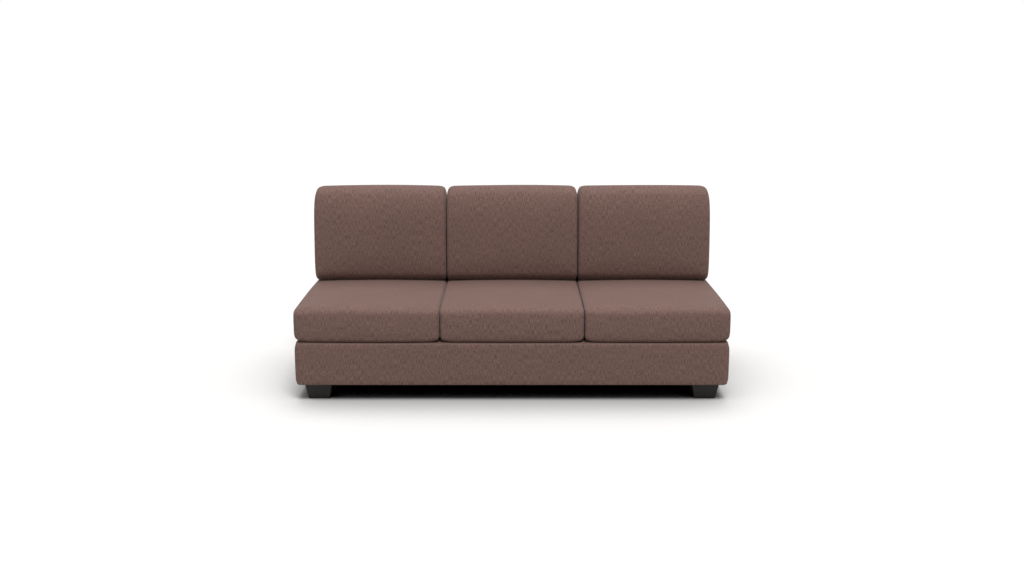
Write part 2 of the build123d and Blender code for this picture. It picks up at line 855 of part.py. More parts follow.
for side, cushion_x in zip(seat_names, cushion_xs):
    low_centre = back_plane * Location((cushion_x, back_low, -back_front / 2))
    back_zip = Plane(origin=low_centre.position, x_dir=(1, 0, 0), z_dir=(0, -lean_sin, -lean_cos))
    hollow(
        back_form(cushion_x, 0),
        back_form(cushion_x, cover_thick),
        back_zip,
        0,
        f"back_cover_{side}",
    )
    with BuildPart() as back_filling:
        add(back_form(cushion_x, wrap_inset))
        groove_cut(back_zip, wrap_inset)
    save(back_filling, f"back_filling_{side}")
    zip_pieces(back_zip, "back", side)
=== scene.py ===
"""The finish of an armless three-seat sofa: its cushions, covers, zips, stitches, feet and studio.

Sizes are in millimetres, like a workshop drawing, and become metres when a mesh is made.
X runs along the sofa, the front faces -Y and +Z is up.
"""

from __future__ import annotations

import json
import logging
import math
from dataclasses import dataclass, field
from enum import Enum
from typing import Callable, Iterable, Sequence

import bmesh
import bpy
import numpy as np
from mathutils import Matrix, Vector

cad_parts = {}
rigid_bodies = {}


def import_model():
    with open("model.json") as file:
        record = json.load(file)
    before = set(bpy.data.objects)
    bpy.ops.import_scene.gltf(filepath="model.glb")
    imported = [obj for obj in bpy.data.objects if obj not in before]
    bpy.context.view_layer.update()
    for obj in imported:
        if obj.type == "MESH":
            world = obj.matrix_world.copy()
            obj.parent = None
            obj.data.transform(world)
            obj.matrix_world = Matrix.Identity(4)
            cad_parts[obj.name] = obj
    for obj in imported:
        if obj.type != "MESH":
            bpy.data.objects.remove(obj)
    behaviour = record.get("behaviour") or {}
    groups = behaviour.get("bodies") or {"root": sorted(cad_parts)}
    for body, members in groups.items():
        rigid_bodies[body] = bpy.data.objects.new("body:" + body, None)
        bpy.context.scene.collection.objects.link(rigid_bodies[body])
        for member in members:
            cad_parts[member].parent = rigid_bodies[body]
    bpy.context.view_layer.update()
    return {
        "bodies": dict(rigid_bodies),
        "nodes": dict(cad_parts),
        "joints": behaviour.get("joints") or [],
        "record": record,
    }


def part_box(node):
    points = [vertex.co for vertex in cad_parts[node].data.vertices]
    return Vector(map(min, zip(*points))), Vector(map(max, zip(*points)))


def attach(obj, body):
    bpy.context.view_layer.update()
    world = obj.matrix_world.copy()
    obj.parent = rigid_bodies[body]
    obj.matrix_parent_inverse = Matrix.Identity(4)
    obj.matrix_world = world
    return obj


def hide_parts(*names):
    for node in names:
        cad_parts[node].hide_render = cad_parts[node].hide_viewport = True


Array = np.ndarray
Colour = tuple[float, float, float]
Socket = bpy.types.NodeSocket
Piece = bpy.types.Object

MM = 0.001
WEAVE_MAP = "weave"
LEAN_DEGREES = 4.5
SEAM_STATION = 3

log = logging.getLogger("sofa")


class Side(Enum):
    """The three places of a seat or a back cushion."""

    LEFT = "left"
    MIDDLE = "middle"
    RIGHT = "right"


class Body(Enum):
    """Kinds of body that a piece rides on."""

    FRAME = "frame"
    SEAT = "seat_cushion_"
    SEAT_SLIDER = "seat_slider_"
    BACK = "back_cushion_"
    BACK_SLIDER = "back_slider_"

    def at(self, side: Side) -> str:
        """The body's full name at one place of the sofa."""
        return f"{self.value}{side.value}"


# ------------------------------------------------------------------ small sums
def smooth_step(start: float, end: float, value: Array) -> Array:
    """A smooth rise.

    Args:
        start: value at which the rise begins.
        end: value at which it is complete.
        value: numbers to weigh.

    Returns:
        0 before start, 1 past end and a smooth step between.
    """
    share = np.clip((value - start) / (end - start), 0, 1)
    return share * share * (3 - 2 * share)


def edge_fall(distance: Array, reach: float, fall: float) -> Array:
    """How far an elliptical edge has fallen.

    Args:
        distance: distance in from the side.
        reach: distance at which the ellipse meets the flat.
        fall: fall at the side itself.

    Returns:
        The fall at each distance.
    """
    share = np.clip(1 - distance / reach, 0, 1)
    return fall * (1 - np.sqrt(1 - share**2))


def spaced(knots: Sequence[float], step: float) -> Array:
    """Places about a step apart that pass through every knot.

    Args:
        knots: places in order, the first and last being the ends.
        step: distance wanted between places.

    Returns:
        The places, ends included.
    """
    places = [knots[0]]
    for start, end in zip(knots, knots[1:]):
        count = max(1, round(abs(end - start) / step))
        places.extend(start + (end - start) * (i + 1) / count for i in range(count))
    return np.array(places)


def arc(centre: tuple[float, float], radius: float, start: float, steps: int) -> list:
    """Inner points of a quarter turn.

    Args:
        centre: the arc's centre.
        radius: its radius.
        start: the angle at which it starts, in degrees.
        steps: how many chords it has.

    Returns:
        The points between the arc's two ends.
    """
    angles = [math.radians(start + 90 * i / steps) for i in range(1, steps)]
    return [(centre[0] + radius * math.cos(a), centre[1] + radius * math.sin(a)) for a in angles]


def grid_faces(columns: int, rows: int) -> list[tuple[int, int, int, int]]:
    """Quads of a grid whose points run column by column.

    Args:
        columns: how many columns of points.
        rows: how many points in a column.

    Returns:
        The four point numbers of each quad.
    """
    return [
        (i * rows + j, (i + 1) * rows + j, (i + 1) * rows + j + 1, i * rows + j + 1)
        for i in range(columns - 1)
        for j in range(rows - 1)
    ]


def stitch_run(corners: Sequence[tuple], facing: tuple[float, float, float]) -> tuple[Array, Array, bool]:
    """A run of stitches through corners, with straight stretches between.

    Args:
        corners: the places where the run turns, and its ends.
        facing: the way that the cloth faces.

    Returns:
        Points, the way that each faces, and that the run is open.
    """
    stretches = [np.linspace(start, end, 30) for start, end in zip(corners, corners[1:])]
    line = np.vstack(stretches)
    return line, np.repeat([facing], len(line), 0), False


# ------------------------------------------------------------------ forms
@dataclass(frozen=True)
class Extent:
    """The box of a structural node."""

    low: tuple[float, float, float]
    high: tuple[float, float, float]

    @classmethod
    def of(cls, node: str) -> "Extent":
        """Read a node's box from the frame."""
        low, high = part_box(node)
        return cls(tuple(v / MM for v in low), tuple(v / MM for v in high))

    @property
    def centre_x(self) -> float:
        """Middle of the box along the sofa."""
        return (self.low[0] + self.high[0]) / 2

    @property
    def half_x(self) -> float:
        """Half of the box's length along the sofa."""
        return (self.high[0] - self.low[0]) / 2


@dataclass
class Grid:
    """A mesh in the making, with the places of its lines kept."""

    points: Array
    faces: list[tuple[int, ...]]
    uvs: list[tuple[tuple[float, float], ...]]
    wrap: Array


@dataclass
class RoundedForm:
    """A closed box form with rounded edges, gridded round its section and over both ends.

    rounds holds the section's corner radii: front low, rear low, rear top, front top.
    """

    half: float
    front: float
    rear: float
    low: float
    top: float
    rounds: tuple[float, float, float, float]
    end_round: float
    step: float = 12.0
    x_knots: tuple[float, ...] = ()
    y_knots: tuple[float, ...] = ()
    z_knots: tuple[float, ...] = ()
    arc_steps: int = 6
    end_angles: tuple[float, ...] = (0, 16, 28, 35, 42, 56, 72, 90)

    def lines(self) -> tuple[Array, Array]:
        """Lines along the flat of the bottom and up the flat of the front.

        Returns:
            Depths from front to rear and heights from low to top.
        """
        front_low, rear_low, rear_top, _ = self.rounds
        depths = spaced((self.front + front_low, *self.y_knots, self.rear - rear_low), self.step)
        heights = spaced((self.low + rear_low, *self.z_knots, self.top - rear_top), self.step)
        return depths, heights

    def stations(self) -> list[tuple[float, float]]:
        """Places along the sofa.

        Returns:
            Each place with how far the section is drawn in there.
        """
        turns = [math.radians(a) for a in self.end_angles]
        end = [
            (self.half - self.end_round * (1 - math.cos(t)), self.end_round * (1 - math.sin(t)))
            for t in turns
        ]
        flat = self.half - self.end_round
        middle = spaced((-flat, *self.x_knots, flat), self.step)[1:-1]
        left = [(-x, inset) for x, inset in end]
        return left + [(x, 0.0) for x in middle] + end[::-1]

    def loop(self, inset: float) -> Array:
        """The section's outline, from the front of the bottom, rearwards and round.

        Args:
            inset: how far the outline is drawn in.

        Returns:
            One (depth, height) row for each point.
        """
        depths, heights = self.lines()
        front_low, rear_low, rear_top, front_top = self.rounds
        top_depths = np.interp(
            depths,
            (depths[0], depths[-1]),
            (self.front + front_top, self.rear - rear_top),
        )
        front_heights = np.interp(
            heights,
            (heights[0], heights[-1]),
            (self.low + front_low, self.top - front_top),
        )
        points = [(y, self.low + inset) for y in depths]
        points += arc((self.rear - rear_low, self.low + rear_low), rear_low - inset, -90, self.arc_steps)
        points += [(self.rear - inset, z) for z in heights]
        points += arc((self.rear - rear_top, self.top - rear_top), rear_top - inset, 0, self.arc_steps)
        points += [(y, self.top - inset) for y in top_depths[::-1]]
        points += arc((self.front + front_top, self.top - front_top), front_top - inset, 90, self.arc_steps)
        points += [(self.front + inset, z) for z in front_heights[::-1]]
        points += arc((self.front + front_low, self.low + front_low), front_low - inset, 180, self.arc_steps)
        return np.array(points)

    def grid(self) -> Grid:
        """Lay the whole form out as quads.

        Returns:
            The grid, with fabric coordinates in metres.
        """
        stations = self.stations()
        loops = [self.loop(inset) for _, inset in stations]
        count = len(loops[0])
        points = [(x, y, z) for (x, _), loop in zip(stations, loops) for y, z in loop]
        wrap = np.arange(len(points)).reshape(len(stations), count)
        middle = loops[len(loops) // 2]
        run = np.linalg.norm(np.diff(np.vstack([middle, middle[:1]]), axis=0), axis=1)
        around = np.concatenate([[0], np.cumsum(run)]) * MM
        rows = np.array([[x, self.front + inset] for x, inset in stations])
        along = np.concatenate([[0], np.cumsum(np.linalg.norm(np.diff(rows, axis=0), axis=1))]) * MM
        faces, uvs = [], []
        for i in range(len(stations) - 1):
            for j in range(count):
                k = (j + 1) % count
                faces.append((wrap[i, j], wrap[i + 1, j], wrap[i + 1, k], wrap[i, k]))
                uvs.append(
                    (
                        (along[i], around[j]),
                        (along[i + 1], around[j]),
                        (along[i + 1], around[j + 1]),
                        (along[i], around[j + 1]),
                    )
                )
        for end in (0, len(stations) - 1):
            self._cap(end, wrap, points, faces, uvs)
        return Grid(np.array(points), faces, uvs, wrap)

    def _cap(
        self, end: int, wrap: Array, points: list, faces: list, uvs: list
    ) -> None:
        """Fill one end of the form with a grid that meets the wrap's last line.

        Args:
            end: index of the station that the cap closes.
            wrap: point numbers, by station and place on the section.
            points: the form's points, which the cap adds to.
            faces: the form's faces, which the cap adds to.
            uvs: the faces' fabric coordinates, which the cap adds to.
        """
        depths, heights = self.lines()
        half_arc = self.arc_steps // 2
        across = len(depths) - 1 + self.arc_steps
        up = len(heights) - 1 + self.arc_steps
        ring = wrap[end]
        count = len(ring)
        start = count - half_arc
        far = start - up
        number = np.zeros((across + 1, up + 1), int)
        for i in range(across + 1):
            number[i, 0] = ring[(start + i) % count]
            number[i, up] = ring[(far - i) % count]
        for j in range(up + 1):
            number[0, j] = ring[(start - j) % count]
            number[across, j] = ring[(start + across + j) % count]
        known = np.array(points)
        edge = known[number]
        u = (edge[:, 0, 1] + edge[:, up, 1]) / 2
        v = (edge[0, :, 2] + edge[across, :, 2]) / 2
        u = (u - u[0]) / (u[-1] - u[0])
        v = (v - v[0]) / (v[-1] - v[0])
        for i in range(1, across):
            for j in range(1, up):
                a, b = u[i], v[j]
                place = (1 - b) * edge[i, 0] + b * edge[i, up] + (1 - a) * edge[0, j]
                place = place + a * edge[across, j]
                place = place - (1 - a) * (1 - b) * edge[0, 0] - a * (1 - b) * edge[across, 0]
                place = place - (1 - a) * b * edge[0, up] - a * b * edge[across, up]
                number[i, j] = len(points)
                points.append(tuple(place))
        for i in range(across):
            for j in range(up):
                quad = (number[i, j], number[i + 1, j], number[i + 1, j + 1], number[i, j + 1])
                faces.append(quad)
                uvs.append(tuple((points[q][1] * MM, points[q][2] * MM) for q in quad))


def new_mesh(
    name: str,
    points: Array,
    faces: Iterable[Sequence[int]],
    finish: bpy.types.Material,
    uvs: Sequence | None = None,
) -> Piece:
    """Make a smooth-shaded piece from points in millimetres.

    Args:
        name: the piece's name.
        points: one row for each point.
        faces: point numbers of each face.
        finish: its material.
        uvs: fabric coordinates of each face's corners.

    Returns:
        The new object, with its faces pointing outwards.
    """
    mesh = bpy.data.meshes.new(name)
    mesh.from_pydata((np.asarray(points) * MM).tolist(), [], [tuple(map(int, f)) for f in faces])
    if uvs is not None:
        layer = mesh.uv_layers.new(name=WEAVE_MAP)
        layer.data.foreach_set("uv", np.array([c for face in uvs for c in face]).ravel())
    shape = bmesh.new()
    shape.from_mesh(mesh)
    bmesh.ops.recalc_face_normals(shape, faces=shape.faces)
    shape.to_mesh(mesh)
    shape.free()
    mesh.polygons.foreach_set("use_smooth", [True] * len(mesh.polygons))
    mesh.materials.append(finish)
    piece = bpy.data.objects.new(name, mesh)
    bpy.context.scene.collection.objects.link(piece)
    return piece


def settle_modifiers(piece: Piece) -> Piece:
    """Turn a piece's modifiers into plain mesh."""
    graph = bpy.context.evaluated_depsgraph_get()
    made = bpy.data.meshes.new_from_object(piece.evaluated_get(graph))
    piece.modifiers.clear()
    old, piece.data = piece.data, made
    made.name = piece.name
    bpy.data.meshes.remove(old)
    return piece


def subdivide(piece: Piece, levels: int = 1) -> Piece:
    """Smooth a piece by subdivision and keep the result as plain mesh."""
    smoothing = piece.modifiers.new("smoothing", "SUBSURF")
    smoothing.levels = smoothing.render_levels = levels
    return settle_modifiers(piece)


def thicken(piece: Piece, thickness: float) -> Piece:
    """Give an open sheet its thickness, inwards, and keep the result as plain mesh."""
    wall = piece.modifiers.new("wall", "SOLIDIFY")
    wall.thickness = thickness * MM
    wall.offset = -1.0
    wall.use_even_offset = False
    return settle_modifiers(piece)


def hand_over(
    piece: Piece, body: str, nodes: Sequence[str] = ()
) -> Piece:
    """Place a finished piece on its body and hide the nodes that it stands for.

    Args:
        piece: the finished piece.
        body: name of the body that it rides on.
        nodes: structural nodes that it stands for.

    Returns:
        The same piece.
    """
    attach(piece, body)
    if nodes:
        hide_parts(*nodes)
    log.info("%s: %d faces, on %s", piece.name, len(piece.data.polygons), body)
    return piece


# ------------------------------------------------------------------ finishes
class Shader:
    """A material being wired, with short ways to add the nodes that it needs."""

    def __init__(self, name: str) -> None:
        """Start a material with a bare surface shader."""
        self.material = bpy.data.materials.new(name)
        self.material.use_nodes = True
        self.tree = self.material.node_tree
        self.surface = self.tree.nodes["Principled BSDF"]

    def node(self, kind: str, inputs: dict | None = None, **settings: object) -> bpy.types.Node:
        """Add a node.

        Args:
            kind: Blender's name for the node type.
            inputs: socket names with the value or the socket that each takes.
            **settings: properties of the node itself.

        Returns:
            The node.
        """
        made = self.tree.nodes.new(kind)
        for key, value in settings.items():
            setattr(made, key, value)
        for key, value in (inputs or {}).items():
            self.feed(made.inputs[key], value)
        return made

    def feed(self, socket: Socket, value: object) -> None:
        """Wire a socket, or set its value."""
        if isinstance(value, bpy.types.NodeSocket):
            self.tree.links.new(value, socket)
        else:
            socket.default_value = value

    def set(self, **values: object) -> None:
        """Set the surface shader's sockets, with _ for each space in a name."""
        for key, value in values.items():
            self.feed(self.surface.inputs[key.replace("_", " ")], value)

    def cloth_place(self) -> Socket:
        """Place on the cloth, in metres along and across its threads."""
        return self.node("ShaderNodeUVMap", uv_map=WEAVE_MAP).outputs["UV"]

    def object_place(self) -> Socket:
        """Place on the object, in metres."""
        return self.node("ShaderNodeTexCoord").outputs["Object"]

    def scaled(self, place: Socket, scale: tuple[float, float, float]) -> Socket:
        """A place with each axis scaled."""
        return self.node("ShaderNodeMapping", {"Vector": place, "Scale": scale}).outputs[0]

    def noise(self, place: Socket, detail: float = 2.0, roughness: float = 0.5) -> Socket:
        """Smooth noise, one blot to a unit."""
        wanted = {"Vector": place, "Scale": 1.0, "Detail": detail, "Roughness": roughness}
        return self.node("ShaderNodeTexNoise", wanted).outputs["Fac"]

    def sum(self, operation: str, *values: object) -> Socket:
        """One step of arithmetic."""
        made = self.node("ShaderNodeMath", operation=operation)
        for socket, value in zip(made.inputs, values):
            self.feed(socket, value)
        return made.outputs[0]

    def weighed(self, *parts: tuple[Socket, float]) -> Socket:
        """The sum of two values, each times its weight."""
        (first, first_weight), (second, second_weight) = parts
        return self.sum(
            "ADD", self.sum("MULTIPLY", first, first_weight), self.sum("MULTIPLY", second, second_weight)
        )

    def stretched(self, place: Socket, size: tuple[float, float]) -> Socket:
        """A place on the cloth in which one unit is a size in millimetres."""
        return self.scaled(place, (1 / (size[0] * MM), 1 / (size[1] * MM), 1))

    def ramp(self, value: Socket, low: float, high: float, start: float = 0.0, end: float = 1.0) -> Socket:
        """Stretch a range of values over another.

        Args:
            value: what is stretched.
            low: the value that becomes start.
            high: the value that becomes end.
            start: lowest result.
            end: highest result.

        Returns:
            The result, held between start and end.
        """
        wanted = {"Value": value, "From Min": low, "From Max": high, "To Min": start, "To Max": end}
        return self.node("ShaderNodeMapRange", wanted, clamp=True).outputs[0]

    def blend(self, share: object, first: object, second: object, mode: str = "MIX") -> Socket:
        """Blend two colours.

        Args:
            share: how much of the second colour.
            first: a colour or a socket.
            second: a colour or a socket.
            mode: how they blend.

        Returns:
            The blended colour.
        """
        made = self.node("ShaderNodeMix", data_type="RGBA", blend_type=mode)
        for socket, value in ((made.inputs[0], share), (made.inputs[6], first), (made.inputs[7], second)):
            if isinstance(value, tuple) and len(value) == 3:
                value = (*value, 1.0)
            self.feed(socket, value)
        return made.outputs[2]

    def bump(self, height: Socket, depth: float, strength: float = 1.0) -> None:
        """Raise the surface by a height map, depth in metres for a height of one."""
        wanted = {"Height": height, "Distance": depth, "Strength": strength}
        self.set(Normal=self.node("ShaderNodeBump", wanted).outputs[0])


@dataclass(frozen=True)
class WovenCloth:
    """A flat weave of two-tone heathered yarn with slubs along the warp.

    thread is a thread's width in millimetres, slub and fleck are the sizes of the yarn's uneven
    stretches across and along it, and painted_gap_shade is how dark painted shade makes the cloth between
    its threads.
    """

    name: str
    light: Colour
    dark: Colour
    thread: float = 1.3
    slub: tuple[float, float] = (2.6, 26.0)
    fleck: tuple[float, float] = (1.7, 9.0)
    contrast: float = 1.5
    sheen: float = 0.6
    sheen_roughness: float = 0.35
    sheen_tint: tuple[float, float, float, float] = (1.0, 0.87, 0.81, 1.0)
    roughness: tuple[float, float] = (0.66, 0.8)
    specular: float = 0.22
    slub_share: float = 0.6
    painted_gap_shade: float = 0.86
    cloudiness: float = 0.025
    relief: float = 0.16

    def make(self) -> bpy.types.Material:
        """Wire the cloth.

        Returns:
            The material.
        """
        shader = Shader(self.name)
        place = shader.cloth_place()
        slubs = shader.noise(shader.stretched(place, self.slub), 2, 0.6)
        flecks = shader.noise(shader.stretched(place, self.fleck), 1, 0.5)
        clouds = shader.noise(shader.scaled(place, (6, 4, 1)), 2, 0.5)
        yarn = shader.weighed((slubs, self.slub_share), (flecks, 1 - self.slub_share))
        reach = 0.25 / self.contrast
        tone = shader.ramp(yarn, 0.5 - reach, 0.5 + reach)
        split = shader.node("ShaderNodeSeparateXYZ", {"Vector": place})
        turn = math.pi / (self.thread * MM)
        weft = shader.sum("SINE", shader.sum("MULTIPLY", split.outputs[0], turn))
        warp = shader.sum("SINE", shader.sum("MULTIPLY", split.outputs[1], turn))
        over = shader.sum("GREATER_THAN", shader.sum("MULTIPLY", weft, warp), 0.0)
        upper = shader.sum("MULTIPLY", over, shader.sum("ABSOLUTE", weft))
        under = shader.sum("MULTIPLY", shader.sum("SUBTRACT", 1.0, over), shader.sum("ABSOLUTE", warp))
        threads = shader.sum("ADD", upper, under)
        colour = shader.blend(tone, self.dark, self.light)
        # Painted shade between the threads, down to painted_gap_shade, times a random cloudy drift in the
        # yarn's own tone, multiplied into the colour.
        shade = shader.ramp(threads, 0.0, 0.6, self.painted_gap_shade, 1.0)
        drift = shader.ramp(clouds, 0.3, 0.7, 1 - self.cloudiness, 1 + self.cloudiness)
        shade = shader.sum("MULTIPLY", shade, drift)
        gap_shade_and_tone_grey = shader.node("ShaderNodeCombineColor", {"Red": shade, "Green": shade, "Blue": shade})
        colour = shader.blend(1.0, colour, gap_shade_and_tone_grey.outputs[0], "MULTIPLY")
        height = shader.sum("ADD", threads, shader.sum("MULTIPLY", slubs, 0.8))
        shader.set(
            Base_Color=colour,
            Roughness=shader.ramp(flecks, 0.3, 0.7, *self.roughness),
            Specular_IOR_Level=self.specular,
            Sheen_Weight=self.sheen,
            Sheen_Roughness=self.sheen_roughness,
            Sheen_Tint=self.sheen_tint,
        )
        shader.bump(height, self.relief * MM)
        return shader.material


@dataclass(frozen=True)
class PlainFinish:
    """A finish with mottled colour and a fine grain, for felts, foams, plastics and metals.

    grain is the size of a mottle along each axis, in millimetres.
    """

    name: str
    colour: Colour
    second: Colour
    grain: tuple[float, float, float] = (1.0, 1.0, 1.0)
    roughness: tuple[float, float] = (0.5, 0.6)
    metallic: float = 0.0
    relief: float = 0.05
    sheen: float = 0.0

    def make(self) -> bpy.types.Material:
        """Wire the finish.

        Returns:
            The material.
        """
        shader = Shader(self.name)
        place = shader.scaled(shader.object_place(), tuple(1 / (g * MM) for g in self.grain))
        mottle = shader.noise(place, 3, 0.6)
        wear = shader.noise(shader.scaled(place, (0.1, 0.1, 0.1)), 2, 0.5)
        share = shader.ramp(shader.weighed((mottle, 0.7), (wear, 0.3)), 0.35, 0.65)
        shader.set(
            Base_Color=shader.blend(share, self.colour, self.second),
            Roughness=shader.ramp(mottle, 0.3, 0.7, *self.roughness),
            Metallic=self.metallic,
            Sheen_Weight=self.sheen,
        )
        shader.bump(mottle, self.relief * MM)
        return shader.material


@dataclass(frozen=True)
class WoodFinish:
    """Wood with growth rings stretched along its grain, bare or stained.

    ring is a ring's width in millimetres, and along is the grain's scale on each axis.
    """

    name: str
    early: Colour
    late: Colour
    along: tuple[float, float, float]
    ring: float = 9.0
    roughness: tuple[float, float] = (0.4, 0.55)
    relief: float = 0.08
    coat: float = 0.0

    def make(self) -> bpy.types.Material:
        """Wire the wood.

        Returns:
            The material.
        """
        shader = Shader(self.name)
        drawn = shader.scaled(shader.object_place(), tuple(a / (self.ring * MM) for a in self.along))
        bands = shader.noise(drawn, 3, 0.55)
        rings = shader.sum("SINE", shader.sum("MULTIPLY", bands, 34.0))
        fine = shader.noise(shader.scaled(drawn, (9.0, 9.0, 9.0)), 2, 0.6)
        grain = shader.sum("ADD", shader.ramp(rings, -1.0, 1.0, 0.0, 0.6), shader.sum("MULTIPLY", fine, 0.4))
        shader.set(
            Base_Color=shader.blend(grain, self.early, self.late),
            Roughness=shader.ramp(fine, 0.3, 0.7, *self.roughness),
            Coat_Weight=self.coat,
            Coat_Roughness=0.25,
        )
        shader.bump(grain, self.relief * MM)
        return shader.material


class Finishes:
    """Every finish on the sofa, by the record's slot, made once."""

    def __init__(self) -> None:
        """Make the materials."""
        made = (
            WovenCloth(
                "brown_weave", (0.216, 0.129, 0.110), (0.102, 0.059, 0.050), sheen=0.22, contrast=2.5
            ),
            WovenCloth(
                "deck_cloth",
                (0.140, 0.086, 0.075),
                (0.105, 0.060, 0.051),
                thread=0.8,
                slub=(2.0, 2.0),
                sheen=0.2,
            ),
            PlainFinish(
                "dust_cloth",
                (0.010, 0.010, 0.011),
                (0.022, 0.022, 0.023),
                grain=(2.0, 2.0, 2.0),
                roughness=(0.85, 0.95),
                relief=0.12,
            ),
            PlainFinish(
                "fibre_wrap",
                (0.80, 0.80, 0.79),
                (0.88, 0.88, 0.87),
                grain=(3.0, 3.0, 9.0),
                roughness=(0.9, 1.0),
                relief=0.6,
                sheen=0.4,
            ),
            PlainFinish(
                "foam",
                (0.78, 0.73, 0.56),
                (0.84, 0.80, 0.64),
                grain=(1.2, 1.2, 1.2),
                roughness=(0.9, 1.0),
                relief=0.3,
            ),
            PlainFinish(
                "felt",
                (0.28, 0.28, 0.29),
                (0.42, 0.41, 0.40),
                grain=(1.5, 4.0, 1.5),
                roughness=(0.9, 1.0),
                relief=0.3,
            ),
            WovenCloth(
                "webbing",
                (0.46, 0.36, 0.22),
                (0.36, 0.27, 0.16),
                thread=2.2,
                slub=(2.2, 40.0),
                sheen=0.1,
                relief=0.4,
            ),
            WoodFinish(
                "frame_wood",
                (0.56, 0.40, 0.23),
                (0.44, 0.29, 0.15),
                along=(0.08, 1.0, 1.0),
                roughness=(0.6, 0.75),
            ),
            WoodFinish(
                "dark_stained_wood",
                (0.019, 0.015, 0.013),
                (0.010, 0.008, 0.007),
                along=(1.0, 1.0, 0.07),
                coat=0.25,
            ),
            PlainFinish(
                "spring_steel",
                (0.22, 0.22, 0.23),
                (0.30, 0.30, 0.31),
                grain=(0.8, 6.0, 0.8),
                roughness=(0.35, 0.5),
                relief=0.02,
                metallic=1.0,
            ),
            PlainFinish(
                "zinc_steel",
                (0.52, 0.52, 0.51),
                (0.60, 0.60, 0.58),
                grain=(1.5, 1.5, 1.5),
                roughness=(0.25, 0.4),
                relief=0.02,
                metallic=1.0,
            ),
            PlainFinish(
                "glide_plastic", (0.04, 0.04, 0.04), (0.06, 0.06, 0.06), roughness=(0.4, 0.5)
            ),
            PlainFinish(
                "zip_plastic",
                (0.055, 0.036, 0.031),
                (0.070, 0.047, 0.040),
                grain=(0.6, 2.0, 0.6),
                roughness=(0.45, 0.6),
            ),
            PlainFinish(
                "zip_metal",
                (0.085, 0.072, 0.064),
                (0.115, 0.098, 0.088),
                roughness=(0.3, 0.42),
                relief=0.01,
                metallic=0.8,
            ),
            PlainFinish(
                "thread",
                (0.088, 0.050, 0.043),
                (0.118, 0.070, 0.060),
                grain=(0.3, 0.3, 0.3),
                roughness=(0.55, 0.7),
                sheen=0.3,
            ),
        )
        self._made = {finish.name: finish.make() for finish in made}

    def __getitem__(self, slot: str) -> bpy.types.Material:
        """The material of a slot."""
        return self._made[slot]

    def dress_nodes(self, frame: dict) -> None:
        """Give every structural node the finish of its slot.
        """
        for part in frame["record"]["subparts"]:
            node = frame["nodes"][part["node"]]
            finish = self[part["material_slot"]]
            if not node.material_slots:
                node.data.materials.append(finish)
            for place in node.material_slots:
                place.material = finish


# ------------------------------------------------------------------ rows of small parts
@dataclass(frozen=True)
class Row:
    """Small parts in a row: how far apart, and how long, wide and thick each is."""

    spacing: float
    along: float
    across: float
    thick: float
    segments: int = 6
    rings: int = 4
    jitter: float = 0.08
    seed: int = 1


